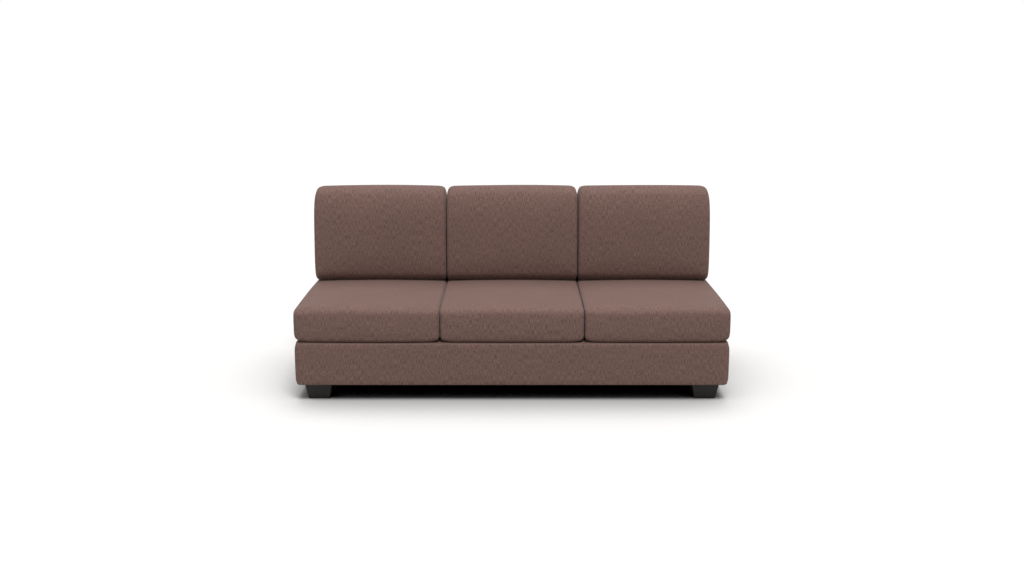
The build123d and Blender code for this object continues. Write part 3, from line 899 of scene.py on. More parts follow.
class RowMaker:
    """Places rows of stitches or coil teeth with Geometry Nodes."""

    def __init__(self) -> None:
        """Build the node tree that all rows share."""
        self.tree = bpy.data.node_groups.new("row_of_parts", "GeometryNodeTree")
        self._sockets: dict[str, str] = {}
        self._add_sockets()
        self._wire()

    def _add_sockets(self) -> None:
        """Name the tree's inputs and its output."""
        face = self.tree.interface
        wanted = (
            ("Line", "NodeSocketGeometry"),
            ("Spacing", "NodeSocketFloat"),
            ("Size", "NodeSocketVector"),
            ("Segments", "NodeSocketInt"),
            ("Rings", "NodeSocketInt"),
            ("Jitter", "NodeSocketFloat"),
            ("Seed", "NodeSocketInt"),
            ("Finish", "NodeSocketMaterial"),
        )
        for name, kind in wanted:
            made = face.new_socket(name=name, in_out="INPUT", socket_type=kind)
            self._sockets[name] = made.identifier
        face.new_socket(name="Row", in_out="OUTPUT", socket_type="NodeSocketGeometry")

    def _wire(self) -> None:
        """Resample the line, stand a part on each point, and make it plain mesh."""
        nodes, link = self.tree.nodes, self.tree.links.new
        given = nodes.new("NodeGroupInput").outputs
        curve = nodes.new("GeometryNodeMeshToCurve")
        even = nodes.new("GeometryNodeResampleCurve")
        even.mode = "LENGTH"
        link(given["Line"], curve.inputs["Mesh"])
        link(curve.outputs[0], even.inputs["Curve"])
        link(given["Spacing"], even.inputs["Length"])
        grain = nodes.new("GeometryNodeMeshUVSphere")
        grain.inputs["Radius"].default_value = 0.5
        link(given["Segments"], grain.inputs["Segments"])
        link(given["Rings"], grain.inputs["Rings"])
        facing = nodes.new("GeometryNodeInputNamedAttribute")
        facing.data_type = "FLOAT_VECTOR"
        facing.inputs["Name"].default_value = "facing"
        turn = nodes.new("FunctionNodeAxesToRotation")
        turn.primary_axis, turn.secondary_axis = "Z", "X"
        link(facing.outputs["Attribute"], turn.inputs["Primary Axis"])
        link(nodes.new("GeometryNodeInputTangent").outputs[0], turn.inputs["Secondary Axis"])
        chance = nodes.new("FunctionNodeRandomValue")
        chance.data_type = "FLOAT"
        lowest = nodes.new("ShaderNodeMath")
        lowest.operation = "SUBTRACT"
        lowest.inputs[0].default_value = 1.0
        link(given["Jitter"], lowest.inputs[1])
        highest = nodes.new("ShaderNodeMath")
        highest.inputs[0].default_value = 1.0
        link(given["Jitter"], highest.inputs[1])
        float_low, float_high = chance.inputs[2], chance.inputs[3]
        link(lowest.outputs[0], float_low)
        link(highest.outputs[0], float_high)
        link(given["Seed"], chance.inputs["Seed"])
        size = nodes.new("ShaderNodeVectorMath")
        size.operation = "SCALE"
        link(given["Size"], size.inputs[0])
        link(chance.outputs[1], size.inputs["Scale"])
        stand = nodes.new("GeometryNodeInstanceOnPoints")
        link(even.outputs[0], stand.inputs["Points"])
        link(grain.outputs[0], stand.inputs["Instance"])
        link(turn.outputs[0], stand.inputs["Rotation"])
        link(size.outputs[0], stand.inputs["Scale"])
        real = nodes.new("GeometryNodeRealizeInstances")
        dress = nodes.new("GeometryNodeSetMaterial")
        link(stand.outputs[0], real.inputs[0])
        link(real.outputs[0], dress.inputs["Geometry"])
        link(given["Finish"], dress.inputs["Material"])
        link(dress.outputs[0], nodes.new("NodeGroupOutput").inputs[0])

    def lay(
        self,
        name: str,
        lines: Sequence[tuple[Array, Array, bool]],
        row: Row,
        finish: bpy.types.Material,
    ) -> Piece:
        """Lay a row along each line.

        Args:
            name: the piece's name.
            lines: points, the way each point faces, and whether the line is closed.
            row: the parts' sizes and spacing.
            finish: their material.

        Returns:
            One plain mesh with every part.
        """
        points, facings, edges = [], [], []
        for places, faces, closed in lines:
            first = len(points)
            points.extend(places)
            facings.extend(faces)
            count = len(places)
            edges += [(first + i, first + i + 1) for i in range(count - 1)]
            if closed:
                edges.append((first + count - 1, first))
        mesh = bpy.data.meshes.new(name)
        mesh.from_pydata((np.array(points) * MM).tolist(), edges, [])
        way = mesh.attributes.new("facing", "FLOAT_VECTOR", "POINT")
        way.data.foreach_set("vector", np.array(facings, float).ravel())
        piece = bpy.data.objects.new(name, mesh)
        bpy.context.scene.collection.objects.link(piece)
        rows = piece.modifiers.new("rows", "NODES")
        rows.node_group = self.tree
        values = {
            "Spacing": row.spacing * MM,
            "Size": (row.along * MM, row.across * MM, row.thick * MM),
            "Segments": row.segments,
            "Rings": row.rings,
            "Jitter": row.jitter,
            "Seed": row.seed,
            "Finish": finish,
        }
        for key, value in values.items():
            rows[self._sockets[key]] = value
        settle_modifiers(piece)
        piece.data.materials.clear()
        piece.data.materials.append(finish)
        piece.data.polygons.foreach_set("use_smooth", [True] * len(piece.data.polygons))
        return piece


# ------------------------------------------------------------------ cushions
@dataclass(frozen=True)
class ZipChannel:
    """The channel that a zip lies in, its half widths at the opening and the lip, and the zip's tape."""

    half_length: float = 279.7
    opening: float = 8.4
    lip: float = 11.5
    depth: float = 7.3
    tape: float = 0.9

    @property
    def lip_lines(self) -> tuple[float, ...]:
        """Grid lines across the channel, out from its middle."""
        return (0.0, self.opening - 0.4, self.opening, self.opening + 0.9, self.lip, self.lip + 4)

    def across(self, middle: float) -> tuple[float, ...]:
        """Grid lines on both sides of the channel's middle."""
        lines = self.lip_lines
        return tuple(sorted({middle + s * v for v in lines for s in (-1, 1)}))

    def along(self) -> tuple[float, ...]:
        """Grid lines at both ends of the channel."""
        ends = (self.half_length - 2, self.half_length, self.half_length + 1.2, self.half_length + 5)
        return tuple(sorted(s * v for v in ends for s in (-1, 1)))

    def sink(self, along: Array, across: Array) -> Array:
        """How deep the channel is.

        Args:
            along: distance from the channel's middle, along it.
            across: distance from its centre line.

        Returns:
            The depth at each point.
        """
        walls = 1 - smooth_step(self.opening - 0.1, self.opening + 1.0, np.abs(across))
        roll = 0.8 * (1 - smooth_step(self.opening, self.lip + 2, np.abs(across)))
        ends = 1 - smooth_step(self.half_length, self.half_length + 1.2, np.abs(along))
        return np.maximum(self.depth * walls, roll) * ends


@dataclass(frozen=True)
class ClothFeel:
    """How a cover behaves when its filling presses on it.

    most is how far its points move, in millimetres, and dent is how deep the deepest dents go.
    """

    pressure: float = 4.0
    frames: int = 20
    stiffness: float = 12.0
    bending: float = 0.6
    most: float = 3.2
    dent: float = 1.0


class ClothBench:
    """Fills every cushion cover together, so that one run of the frames serves them all."""

    def __init__(self, feel: ClothFeel, cloth: bpy.types.Material) -> None:
        """Start with nothing on the bench."""
        self.feel = feel
        self.cloth = cloth
        self._laid: list[Piece] = []

    def lay(self, name: str, points: Array, faces: list, hold: Array) -> Piece:
        """Put a cover on the bench.

        Args:
            name: a name for the working copy.
            points: the cover's points, in millimetres.
            faces: its faces.
            hold: how firmly each point is held, 0 to 1.

        Returns:
            The working copy.
        """
        cover = new_mesh(f"bench_{name}", points, faces, self.cloth)
        group = cover.vertex_groups.new(name="hold")
        for level in np.unique(np.round(hold, 2)):
            chosen = np.nonzero(np.round(hold, 2) == level)[0]
            group.add(chosen.tolist(), float(level), "REPLACE")
        cloth = cover.modifiers.new("cloth", "CLOTH")
        feel = cloth.settings
        feel.quality = 4
        feel.mass = 0.3
        feel.tension_stiffness = feel.compression_stiffness = self.feel.stiffness
        feel.shear_stiffness = self.feel.stiffness / 2
        feel.bending_stiffness = self.feel.bending
        feel.tension_damping = feel.compression_damping = 25
        feel.air_damping = 5
        feel.use_pressure = True
        feel.uniform_pressure_force = self.feel.pressure
        feel.effector_weights.gravity = 0
        feel.vertex_group_mass = "hold"
        cloth.collision_settings.use_collision = False
        cloth.collision_settings.use_self_collision = False
        self._laid.append(cover)
        return cover

    def run(self) -> dict[str, Array]:
        """Let the covers fill.

        Returns:
            For each working copy's name, how far each point moved, in millimetres.
        """
        scene = bpy.context.scene
        scene.frame_start, scene.frame_end = 1, self.feel.frames
        before = {c.name: self._read(c.data, "co") / MM for c in self._laid}
        facing = {c.name: self._read(c.data, "normal") for c in self._laid}
        for number in range(1, self.feel.frames + 1):
            scene.frame_set(number)
        graph = bpy.context.evaluated_depsgraph_get()
        moved = {}
        for cover in self._laid:
            step = self._read(cover.evaluated_get(graph).data, "co") / MM - before[cover.name]
            longest = np.percentile(np.linalg.norm(step, axis=1), 98)
            step *= min(1.0, self.feel.most / longest)
            out = facing[cover.name]
            sunk = np.minimum((step * out).sum(axis=1, keepdims=True), 0)
            moved[cover.name] = step + (sunk / (1 - sunk / self.feel.dent) - sunk) * out
        for cover in self._laid:
            bpy.data.objects.remove(cover)
        self._laid.clear()
        scene.frame_set(1)
        return moved

    @staticmethod
    def _read(mesh: bpy.types.Mesh, what: str) -> Array:
        """One vector for each of a mesh's points."""
        values = np.zeros(len(mesh.vertices) * 3)
        mesh.vertices.foreach_get(what, values)
        return values.reshape(-1, 3)


@dataclass
class Cushion:
    """A loose box cushion with a crown, plain seamed ends and a zip.

    The insets are how far the fibre wrap and the foam lie inside the cover, and cloth_shift moves
    the weave along from one cushion to the next, so that no two are cut from the same place.
    """

    side: Side
    finishes: Finishes
    rows: RowMaker
    zip: ZipChannel = field(default_factory=ZipChannel)
    seam_depth: float = 1.1
    side_gap: float = 1.8
    outer_bulge: float = 8.6
    step: float = 13.0
    inner_step: float = 26.0
    wrap_inset: float = 3.4
    foam_inset: float = 14.8
    least_round: float = 4.0
    cloth_shift: float = 0.731
    seam_hold: float = 0.6
    end_hold: float = 0.9
    thread: Row = Row(spacing=4.6, along=3.3, across=0.75, thick=0.7)
    topstitch: Row = Row(spacing=4.4, along=3.2, across=0.8, thick=0.7)
    coil: Row = Row(spacing=1.3, along=1.0, across=5.0, thick=1.7, jitter=0.0)

    kind = "cushion"

    def form(self, inset: float) -> RoundedForm:
        """The plain rounded form, drawn in by an inset."""
        raise NotImplementedError

    def swell(self, base: Array, inset: float) -> Array:
        """The crowned form that the plain one becomes."""
        raise NotImplementedError

    def to_frame(self, local: Array) -> Array:
        """Points of the cushion's own frame as points of the sofa's."""
        raise NotImplementedError

    def sink_zip(self, local: Array, base: Array) -> Array:
        """Press the zip's channel into the form."""
        raise NotImplementedError

    def zip_line(self, along: float, across: float, depth: float) -> Array:
        """A point of the zip, in the cushion's own frame."""
        raise NotImplementedError

    @property
    def body(self) -> str:
        """The body that the cushion is."""
        raise NotImplementedError

    def spread(self, base: Array, high: Array) -> Array:
        """How far a cushion at the end of the row bulges past it.

        Args:
            base: points of the plain form.
            high: each point's height, as a share of the form's.

        Returns:
            The move of each point along the sofa.
        """
        outward = {Side.LEFT: -1, Side.MIDDLE: 0, Side.RIGHT: 1}[self.side]
        side = np.clip(outward * base[:, 0] / self.box.half_x, 0, 1) ** 2
        return outward * self.outer_bulge * side * (1 - (2 * high - 1) ** 6)

    def unevenness(self, base: Array) -> Array:
        """A slight difference between one cushion and the next."""
        phase = 2.1 * list(Side).index(self.side) + (0.9 if self.kind == "back" else 0.0)
        x, y, z = base.T
        return 0.8 * np.sin(x / 120 + phase) * np.sin((y + z) / 105 + 1.7 * phase)

    def rest(self) -> tuple[Grid, Array]:
        """The cover's grid and its crowned shape."""
        grid = self.form(0).grid()
        return grid, self.swell(grid.points, 0)

    def hold(self, grid: Grid, local: Array) -> Array:
        """How firmly each point of the cover is held while it fills."""
        form = self.form(0)
        base = grid.points
        seam = np.zeros(len(base))
        seam[grid.wrap[SEAM_STATION]] = seam[grid.wrap[-1 - SEAM_STATION]] = self.seam_hold
        flat_ends = smooth_step(form.half - 2, form.half, np.abs(base[:, 0]))
        bottom = 1 - smooth_step(form.low, form.low + 6, base[:, 2])
        rear = smooth_step(form.rear - 6, form.rear, base[:, 1])
        return np.maximum.reduce([seam, self.end_hold * flat_ends, bottom, rear])

    def keep_in(self, local: Array) -> Array:
        """Keep a filled cover clear of what it rests on and of its neighbours."""
        form = self.form(0)
        left = form.half + (self.outer_bulge + 2 if self.side is Side.LEFT else 0)
        right = form.half + (self.outer_bulge + 2 if self.side is Side.RIGHT else 0)
        local[:, 0] = np.clip(local[:, 0], -left, right)
        local[:, 1] = np.minimum(local[:, 1], form.rear)
        local[:, 2] = np.maximum(local[:, 2], form.low)
        return local

    def seam_lines(self, grid: Grid, piece: Piece) -> list[tuple[Array, Array, bool]]:
        """The two end seams, read from the finished cover.

        Args:
            grid: the cover's grid.
            piece: the finished cover, whose first points are the grid's.

        Returns:
            Points, facings and closed flags for a row of stitches.
        """
        lines = []
        for station in (SEAM_STATION, len(grid.wrap) - 1 - SEAM_STATION):
            ring = grid.wrap[station]
            places = np.array([piece.data.vertices[int(i)].co for i in ring]) / MM
            ways = np.array([piece.data.vertices[int(i)].normal for i in ring])
            lines.append((places + 0.12 * ways, ways, True))
        return lines

    def press_seams(self, grid: Grid, local: Array) -> Array:
        """Draw the cover in along its two end seams.

        Args:
            grid: the cover's grid.
            local: its points.

        Returns:
            The points with a groove at each seam and a slight roll beside it.
        """
        form = self.form(0)
        base = grid.points
        middle = np.array([0, (form.front + form.rear) / 2, (form.low + form.top) / 2])
        for station in (SEAM_STATION, len(grid.wrap) - 1 - SEAM_STATION):
            sign = -1 if station == SEAM_STATION else 1
            for step, depth in ((0, self.seam_depth), (-1, -0.25), (1, -0.25)):
                ring = grid.wrap[station + step]
                inward = middle - base[ring]
                inward[:, 0] = 0
                inward /= np.linalg.norm(inward, axis=1, keepdims=True)
                inward[:, 0] = -sign * 0.8
                local[ring] += depth * inward
        return local

    def make(self, filled: Array | None) -> None:
        """Make every piece of the cushion.

        Args:
            filled: how far filling the cover moved each point, or None where that was skipped.
        """
        grid, local = self.rest()
        if filled is not None:
            local = self.keep_in(local + filled)
        local = self.press_seams(grid, local)
        local = self.sink_zip(local, grid.points)
        shift = list(Side).index(self.side) * self.cloth_shift
        uvs = [tuple((u + shift, v + 0.3 * shift) for u, v in face) for face in grid.uvs]
        cloth = self.finishes["brown_weave"]
        label = f"{self.kind}_cushion_{self.side.value}"
        cover = new_mesh(label, self.to_frame(local), grid.faces, cloth, uvs)
        subdivide(cover)
        hand_over(cover, self.body, [f"{self.kind}_cover_{self.side.value}"])
        lines = self.seam_lines(grid, cover)
        self.stitch(f"{self.kind}_seams_{self.side.value}", lines, self.thread)
        self.make_filling()
        self.make_zip()

    def stitch(self, name: str, lines: list[tuple[Array, Array, bool]], row: Row) -> None:
        """Sew a row of stitches along each line."""
        stitches = self.rows.lay(name, lines, row, self.finishes["thread"])
        hand_over(stitches, self.body)

    def make_filling(self) -> None:
        """Make what is inside the cover."""
        raise NotImplementedError

    def inner(self, name: str, inset: float, slot: str, nodes: Sequence[str]) -> None:
        """Make one layer of the filling.

        Args:
            name: the piece's name.
            inset: how far it lies inside the cover.
            slot: its material slot.
            nodes: the node that it stands for.
        """
        grid = self.form(inset).grid()
        local = self.sink_zip(self.swell(grid.points, inset), grid.points)
        piece = new_mesh(name, self.to_frame(local), grid.faces, self.finishes[slot], grid.uvs)
        hand_over(piece, self.body, nodes)

    def zip_run(self, half: float, across: float, depth: float, facing: Array) -> tuple[Array, Array, bool]:
        """A straight line along the zip.

        Args:
            half: half of its length.
            across: how far it lies beside the zip's middle.
            depth: how far it lies above the cover.
            facing: the way that the zip faces.

        Returns:
            Its two ends, the way that each faces, and that it is open.
        """
        ends = np.array([self.zip_line(x, across, depth) for x in (-half, half)])
        return self.to_frame(ends), np.repeat(facing, 2, 0), False

    def make_zip(self) -> None:
        """Make the zip's tape, its coil, its topstitching and its slider."""
        name, kind, plastic = self.side.value, self.kind, self.finishes["zip_plastic"]
        outward = self.to_frame(np.array([self.zip_line(0, 0, 0), self.zip_line(0, 0, 1)]))
        facing = outward[1:] - outward[:1]
        length = self.zip.half_length - 0.4
        xs = np.linspace(-length, length, 96)
        half_tape = ((14.0, -6.0), (9.0, -5.95), (3.2, -5.9), (2.8, -5.75))
        section = [(-y, depth) for y, depth in half_tape] + list(reversed(half_tape))
        points = [self.zip_line(x, y, depth) for x in xs for y, depth in section]
        faces = grid_faces(len(xs), len(section))
        uvs = [tuple((points[q][0] * MM, section[q % len(section)][0] * MM) for q in f) for f in faces]
        tape = new_mesh(f"{kind}_zip_tape_{name}", self.to_frame(np.array(points)), faces, plastic, uvs)
        thicken(tape, self.zip.tape)
        hand_over(tape, self.body, [f"{kind}_zip_{name}"])
        coil_line = self.zip_run(length - 3, 0, -5.05, facing)
        coil = self.rows.lay(f"{kind}_zip_coil_{name}", [coil_line], self.coil, plastic)
        hand_over(coil, self.body)
        beside = self.zip.lip + 3.5
        lines = [self.zip_run(length + 8, across, 0.12, facing) for across in (-beside, beside)]
        self.stitch(f"{kind}_zip_stitches_{name}", lines, self.topstitch)
        ZipSlider(self).make()


@dataclass
class ZipSlider:
    """A zip's slider: a two-part body with a bridge, and a pull tab with a hole."""

    cushion: Cushion
    length: float = 10.0
    width: float = 8.0
    waist: float = 5.6
    corner: float = 1.6
    body_low: float = -4.1
    body_high: float = -2.3
    tab_length: float = 21.5
    tab_width: float = 5.8
    tab_thick: float = 1.0
    start: float = 10.0

    def outline(self) -> Array:
        """The slider body's outline, wide at its mouth and narrow at its tail."""
        half, wide, narrow = self.length / 2, self.width / 2, self.waist / 2
        turn = np.linspace(0, math.pi / 2, 5)
        near = [self.corner * (1 - math.cos(t)) for t in turn]
        far = [self.corner * (1 - math.sin(t)) for t in turn]
        top = [(-half + a, wide - b) for a, b in zip(near, far)]
        tail = [(half - b, narrow - a) for a, b in zip(near, far)]
        upper = top + [(0.5, wide - 0.3), (1.6, narrow + 0.3)] + tail
        return np.array(upper + [(x, -y) for x, y in reversed(upper)])

    def tab(self) -> Array:
        """The pull tab's outline, round at both ends."""
        radius = self.tab_width / 2
        turns = np.linspace(math.pi / 2, 3 * math.pi / 2, 9)
        left = [(radius + radius * math.cos(t), radius * math.sin(t)) for t in turns]
        right = [(self.tab_length - radius - radius * math.cos(t), -radius * math.sin(t)) for t in turns]
        return np.array(left + right)

    @staticmethod
    def plate(outline: Array, low: float, high: float, edge: float, first: int) -> tuple[list, list]:
        """A flat plate with softened edges.

        Args:
            outline: its outline.
            low: its lower face.
            high: its upper face.
            edge: how far its edges are drawn in.
            first: number of its first point.

        Returns:
            Its points and its faces.
        """
        middle = outline.mean(axis=0)
        away = outline - middle
        small = middle + away * (1 - edge / np.linalg.norm(away, axis=1, keepdims=True))
        rings = [(small, low), (outline, low + edge), (outline, high - edge), (small, high)]
        points = [(x, y, z) for ring, z in rings for x, y in ring]
        count = len(outline)
        faces = []
        for level in range(3):
            for i in range(count):
                j = (i + 1) % count
                a, b = level * count + i, level * count + j
                faces.append((first + a, first + b, first + b + count, first + a + count))
        faces.append(tuple(first + i for i in range(count)))
        faces.append(tuple(first + 3 * count + i for i in range(count)))
        return points, faces

    def make(self) -> None:
        """Make the slider where the zip is closed."""
        cushion = self.cushion
        turned = -1 if cushion.kind == "seat" else 1
        origin = self.start - cushion.zip.half_length
        bridge = np.array([(-3, -1.1), (3.6, -1.1), (3.6, 1.1), (-3, 1.1)])
        tab_low = self.body_high + 0.05
        plates = (
            (self.outline(), self.body_low, self.body_high, 0.35),
            (bridge, self.body_high - 0.3, self.body_high + 0.75, 0.3),
            (self.tab(), tab_low, tab_low + self.tab_thick, 0.25),
        )
        points, faces = [], []
        for outline, low, high, edge in plates:
            more, more_faces = self.plate(outline, low, high, edge, len(points))
            points, faces = points + more, faces + more_faces
        local = np.array([cushion.zip_line(turned * (origin + x), y, z) for x, y, z in points])
        name = f"{cushion.kind}_slider_{cushion.side.value}"
        piece = new_mesh(name, cushion.to_frame(local), faces, cushion.finishes["zip_metal"])
        body = Body.SEAT_SLIDER if cushion.kind == "seat" else Body.BACK_SLIDER
        node = f"{cushion.kind}_zip_slider_{cushion.side.value}"
        hand_over(piece, body.at(cushion.side), [node])


@dataclass
class SeatCushion(Cushion):
    """A seat cushion that lies on the deck, its front and top in one piece of cloth.

    back_stands is the depth at which the back cushion's front stands on it, low_reach and low_lift
    say how its lower end corners rise, and crown_past is how far the crown tops the node's box.
    """

    front_belly: float = 8.0
    rear_fall: float = 11.0
    crown: float = 10.0
    crown_past: float = 5.3
    side_fall: float = 5.0
    top_round: float = 30.0
    low_round: float = 17.0
    end_round: float = 15.0
    back_stands: float = 120.0
    low_reach: float = 73.0
    low_lift: float = 14.0

    kind = "seat"

    def __post_init__(self) -> None:
        """Read the cushion's place."""
        self.box = Extent.of(f"seat_cover_{self.side.value}")
        tape = Extent.of(f"seat_zip_{self.side.value}")
        self.zip_z = (tape.low[2] + tape.high[2]) / 2

    @property
    def body(self) -> str:
        """The body that the cushion is."""
        return Body.SEAT.at(self.side)

    def form(self, inset: float) -> RoundedForm:
        """The plain rounded form, drawn in by an inset."""
        low, high = self.box.low, self.box.high
        wanted = (self.low_round, self.low_round, self.top_round, self.top_round)
        rounds = tuple(max(r - inset, self.least_round) for r in wanted)
        return RoundedForm(
            step=self.inner_step if inset else self.step,
            half=self.box.half_x - self.side_gap - inset,
            front=low[1] + self.front_belly + inset,
            rear=high[1] - inset,
            low=low[2] + inset,
            top=high[2] - self.crown + self.crown_past - inset,
            rounds=rounds,
            end_round=max(self.end_round - inset, 3.0),
            x_knots=self.zip.along(),
            z_knots=self.zip.across(self.zip_z),
        )

    def swell(self, base: Array, inset: float) -> Array:
        """The crowned form that the plain one becomes.

        Args:
            base: points of the plain form.
            inset: how far that is drawn in.

        Returns:
            The moved points.
        """
        form = self.form(inset)
        x, y, z = base.T
        deep = np.clip((y - form.front) / (form.rear - form.front), 0, 1)
        high = np.clip((z - form.low) / (form.top - form.low), 0, 1)
        wide = (x / form.half) ** 2
        ahead = 1 - smooth_step(0, 70, y - form.front)
        dome = 1 - (2 * deep - 1) ** 2
        rise = self.crown * dome * (1 - 0.45 * wide) - self.side_fall * wide - self.rear_fall * deep
        corner = edge_fall(form.half - np.abs(x), self.low_reach, self.low_lift)
        belly = self.front_belly * (1 - (2 * high - 1) ** 4)
        uneven = self.unevenness(base) * (1 - self.under_back(y))
        at_zip = smooth_step(form.rear - 70, form.rear - 24, y) * (
            1 - smooth_step(18, 58, np.abs(z - self.zip_z))
        )
        moved = base.copy()
        moved[:, 0] += self.spread(base, high)
        moved[:, 1] += ahead * (self.side_fall * wide - belly + uneven)
        moved[:, 2] += (1 - at_zip) * (high * (rise + uneven) + (1 - high) * corner)
        return moved

    def under_back(self, depth: Array) -> Array:
        """How far each point lies under the back cushion, from 0 to 1."""
        return smooth_step(self.back_stands - 70, self.back_stands, depth)

    def hold(self, grid: Grid, local: Array) -> Array:
        """How firmly each point of the cover is held, which a back cushion's weight adds to."""
        return np.maximum(super().hold(grid, local), self.under_back(local[:, 1]))

    def to_frame(self, local: Array) -> Array:
        """Points of the cushion's own frame as points of the sofa's."""
        return local + np.array([self.box.centre_x, 0, 0])

    def sink_zip(self, local: Array, base: Array) -> Array:
        """Press the zip's channel into the rear."""
        rear = self.box.high[1]
        behind = smooth_step(rear - 24, rear - 16, base[:, 1])
        local[:, 1] -= behind * self.zip.sink(base[:, 0], base[:, 2] - self.zip_z)
        return local

    def zip_line(self, along: float, across: float, depth: float) -> Array:
        """A point of the zip, in the cushion's own frame."""
        return np.array([along, self.box.high[1] + depth, self.zip_z + across])

    def make_filling(self) -> None:
        """Make the fibre wrap and the foam core."""
        name = self.side.value
        self.inner(f"seat_fibre_{name}", self.wrap_inset, "fibre_wrap", [f"seat_wrap_{name}"])
        self.inner(f"seat_core_{name}", self.foam_inset, "foam", [f"seat_foam_{name}"])


@dataclass
class BackCushion(Cushion):
    """A back cushion that stands on the seat and leans on the inside back.

    Its corner sizes say how far in each corner starts and how far it falls or lifts, and its roll
    sizes how far the front leans back towards the top.
    """

    thick: float = 192.0
    height: float = 480.0
    low_drop: float = 6.5
    top_drop: float = 6.0
    front_belly: float = 22.0
    crown: float = 3.0
    side_fall: float = 5.0
    top_round: float = 40.0
    low_round: float = 40.0
    end_round: float = 15.0
    corner_reach: float = 30.0
    corner_fall: float = 32.0
    low_corner_reach: float = 8.0
    low_corner_lift: float = 3.0
    roll_reach: float = 150.0
    roll_depth: float = 40.0
    outer_bulge: float = 4.2

    kind = "back"

    def __post_init__(self) -> None:
        """Read the cushion's place."""
        self.box = Extent.of(f"back_cover_{self.side.value}")
        self.deck_z = Extent.of("deck_cover").high[2]
        self.inside_back = Extent.of("back_inner_cover").low[1]
        lean = math.radians(LEAN_DEGREES)
        self.up = (math.sin(lean), math.cos(lean))
        self.low = (self.box.low[2] - self.deck_z) / self.up[1] - self.low_drop
        self.zip_y = -(self.thick - self.front_belly) / 2

    @property
    def body(self) -> str:
        """The body that the cushion is."""
        return Body.BACK.at(self.side)

    def form(self, inset: float) -> RoundedForm:
        """The plain rounded form, drawn in by an inset."""
        wanted = (self.low_round, self.low_round, self.top_round, self.top_round)
        rounds = tuple(max(r - inset, self.least_round) for r in wanted)
        return RoundedForm(
            step=self.inner_step if inset else self.step,
            half=self.box.half_x - self.side_gap - inset,
            front=-(self.thick - self.front_belly) + inset,
            rear=-0.3 - inset,
            low=self.low + inset,
            top=self.low + self.height - self.top_drop - inset,
            rounds=rounds,
            end_round=max(self.end_round - inset, 3.0),
            x_knots=self.zip.along(),
            y_knots=self.zip.across(self.zip_y),
        )

    def swell(self, base: Array, inset: float) -> Array:
        """The crowned form that the plain one becomes.

        Args:
            base: points of the plain form.
            inset: how far that is drawn in.

        Returns:
            The moved points.
        """
        form = self.form(inset)
        x, y, z = base.T
        deep = np.clip((y - form.front) / (form.rear - form.front), 0, 1)
        high = np.clip((z - form.low) / (form.top - form.low), 0, 1)
        wide = (x / form.half) ** 2
        ahead = 1 - smooth_step(0, 90, y - form.front)
        edge = form.half - np.abs(x)
        fall = edge_fall(edge, self.corner_reach, self.corner_fall) * smooth_step(0.3, 1.0, high)
        lift = edge_fall(edge, self.low_corner_reach, self.low_corner_lift)
        lift = lift * (1 - smooth_step(0, 0.4, high))
        dome = 1 - (2 * deep - 1) ** 2
        upright = np.where(high < 0.5, 1 - (2 * high - 1) ** 4, 1 - (2 * high - 1) ** 2)
        roll = edge_fall((1 - high) * (form.top - form.low), self.roll_reach, self.roll_depth)
        belly = self.front_belly * upright * (1 - 0.25 * wide)
        uneven = self.unevenness(base)
        moved = base.copy()
        moved[:, 0] += self.spread(base, high)
        moved[:, 1] += ahead * (self.side_fall * wide - belly + roll + uneven)
        moved[:, 2] += high * (self.crown * dome - self.side_fall * wide + uneven) - fall + lift
        return moved

    def to_frame(self, local: Array) -> Array:
        """Points of the cushion's own frame as points of the sofa's."""
        sine, cosine = self.up
        x, y, z = local.T
        return np.stack(
            [
                x + self.box.centre_x,
                self.inside_back + y * cosine + z * sine,
                self.deck_z - y * sine + z * cosine,
            ],
            axis=1,
        )

    def sink_zip(self, local: Array, base: Array) -> Array:
        """Press the zip's channel into the bottom."""
        below = 1 - smooth_step(self.low + 16, self.low + 24, base[:, 2])
        local[:, 2] += below * self.zip.sink(base[:, 0], base[:, 1] - self.zip_y)
        return local

    def zip_line(self, along: float, across: float, depth: float) -> Array:
        """A point of the zip, in the cushion's own frame."""
        return np.array([along, self.zip_y + across, self.low - depth])

    def make_filling(self) -> None:
        """Make the fibre filling."""
        name = self.side.value
        self.inner(f"back_fibre_{name}", self.wrap_inset, "fibre_wrap", [f"back_filling_{name}"])


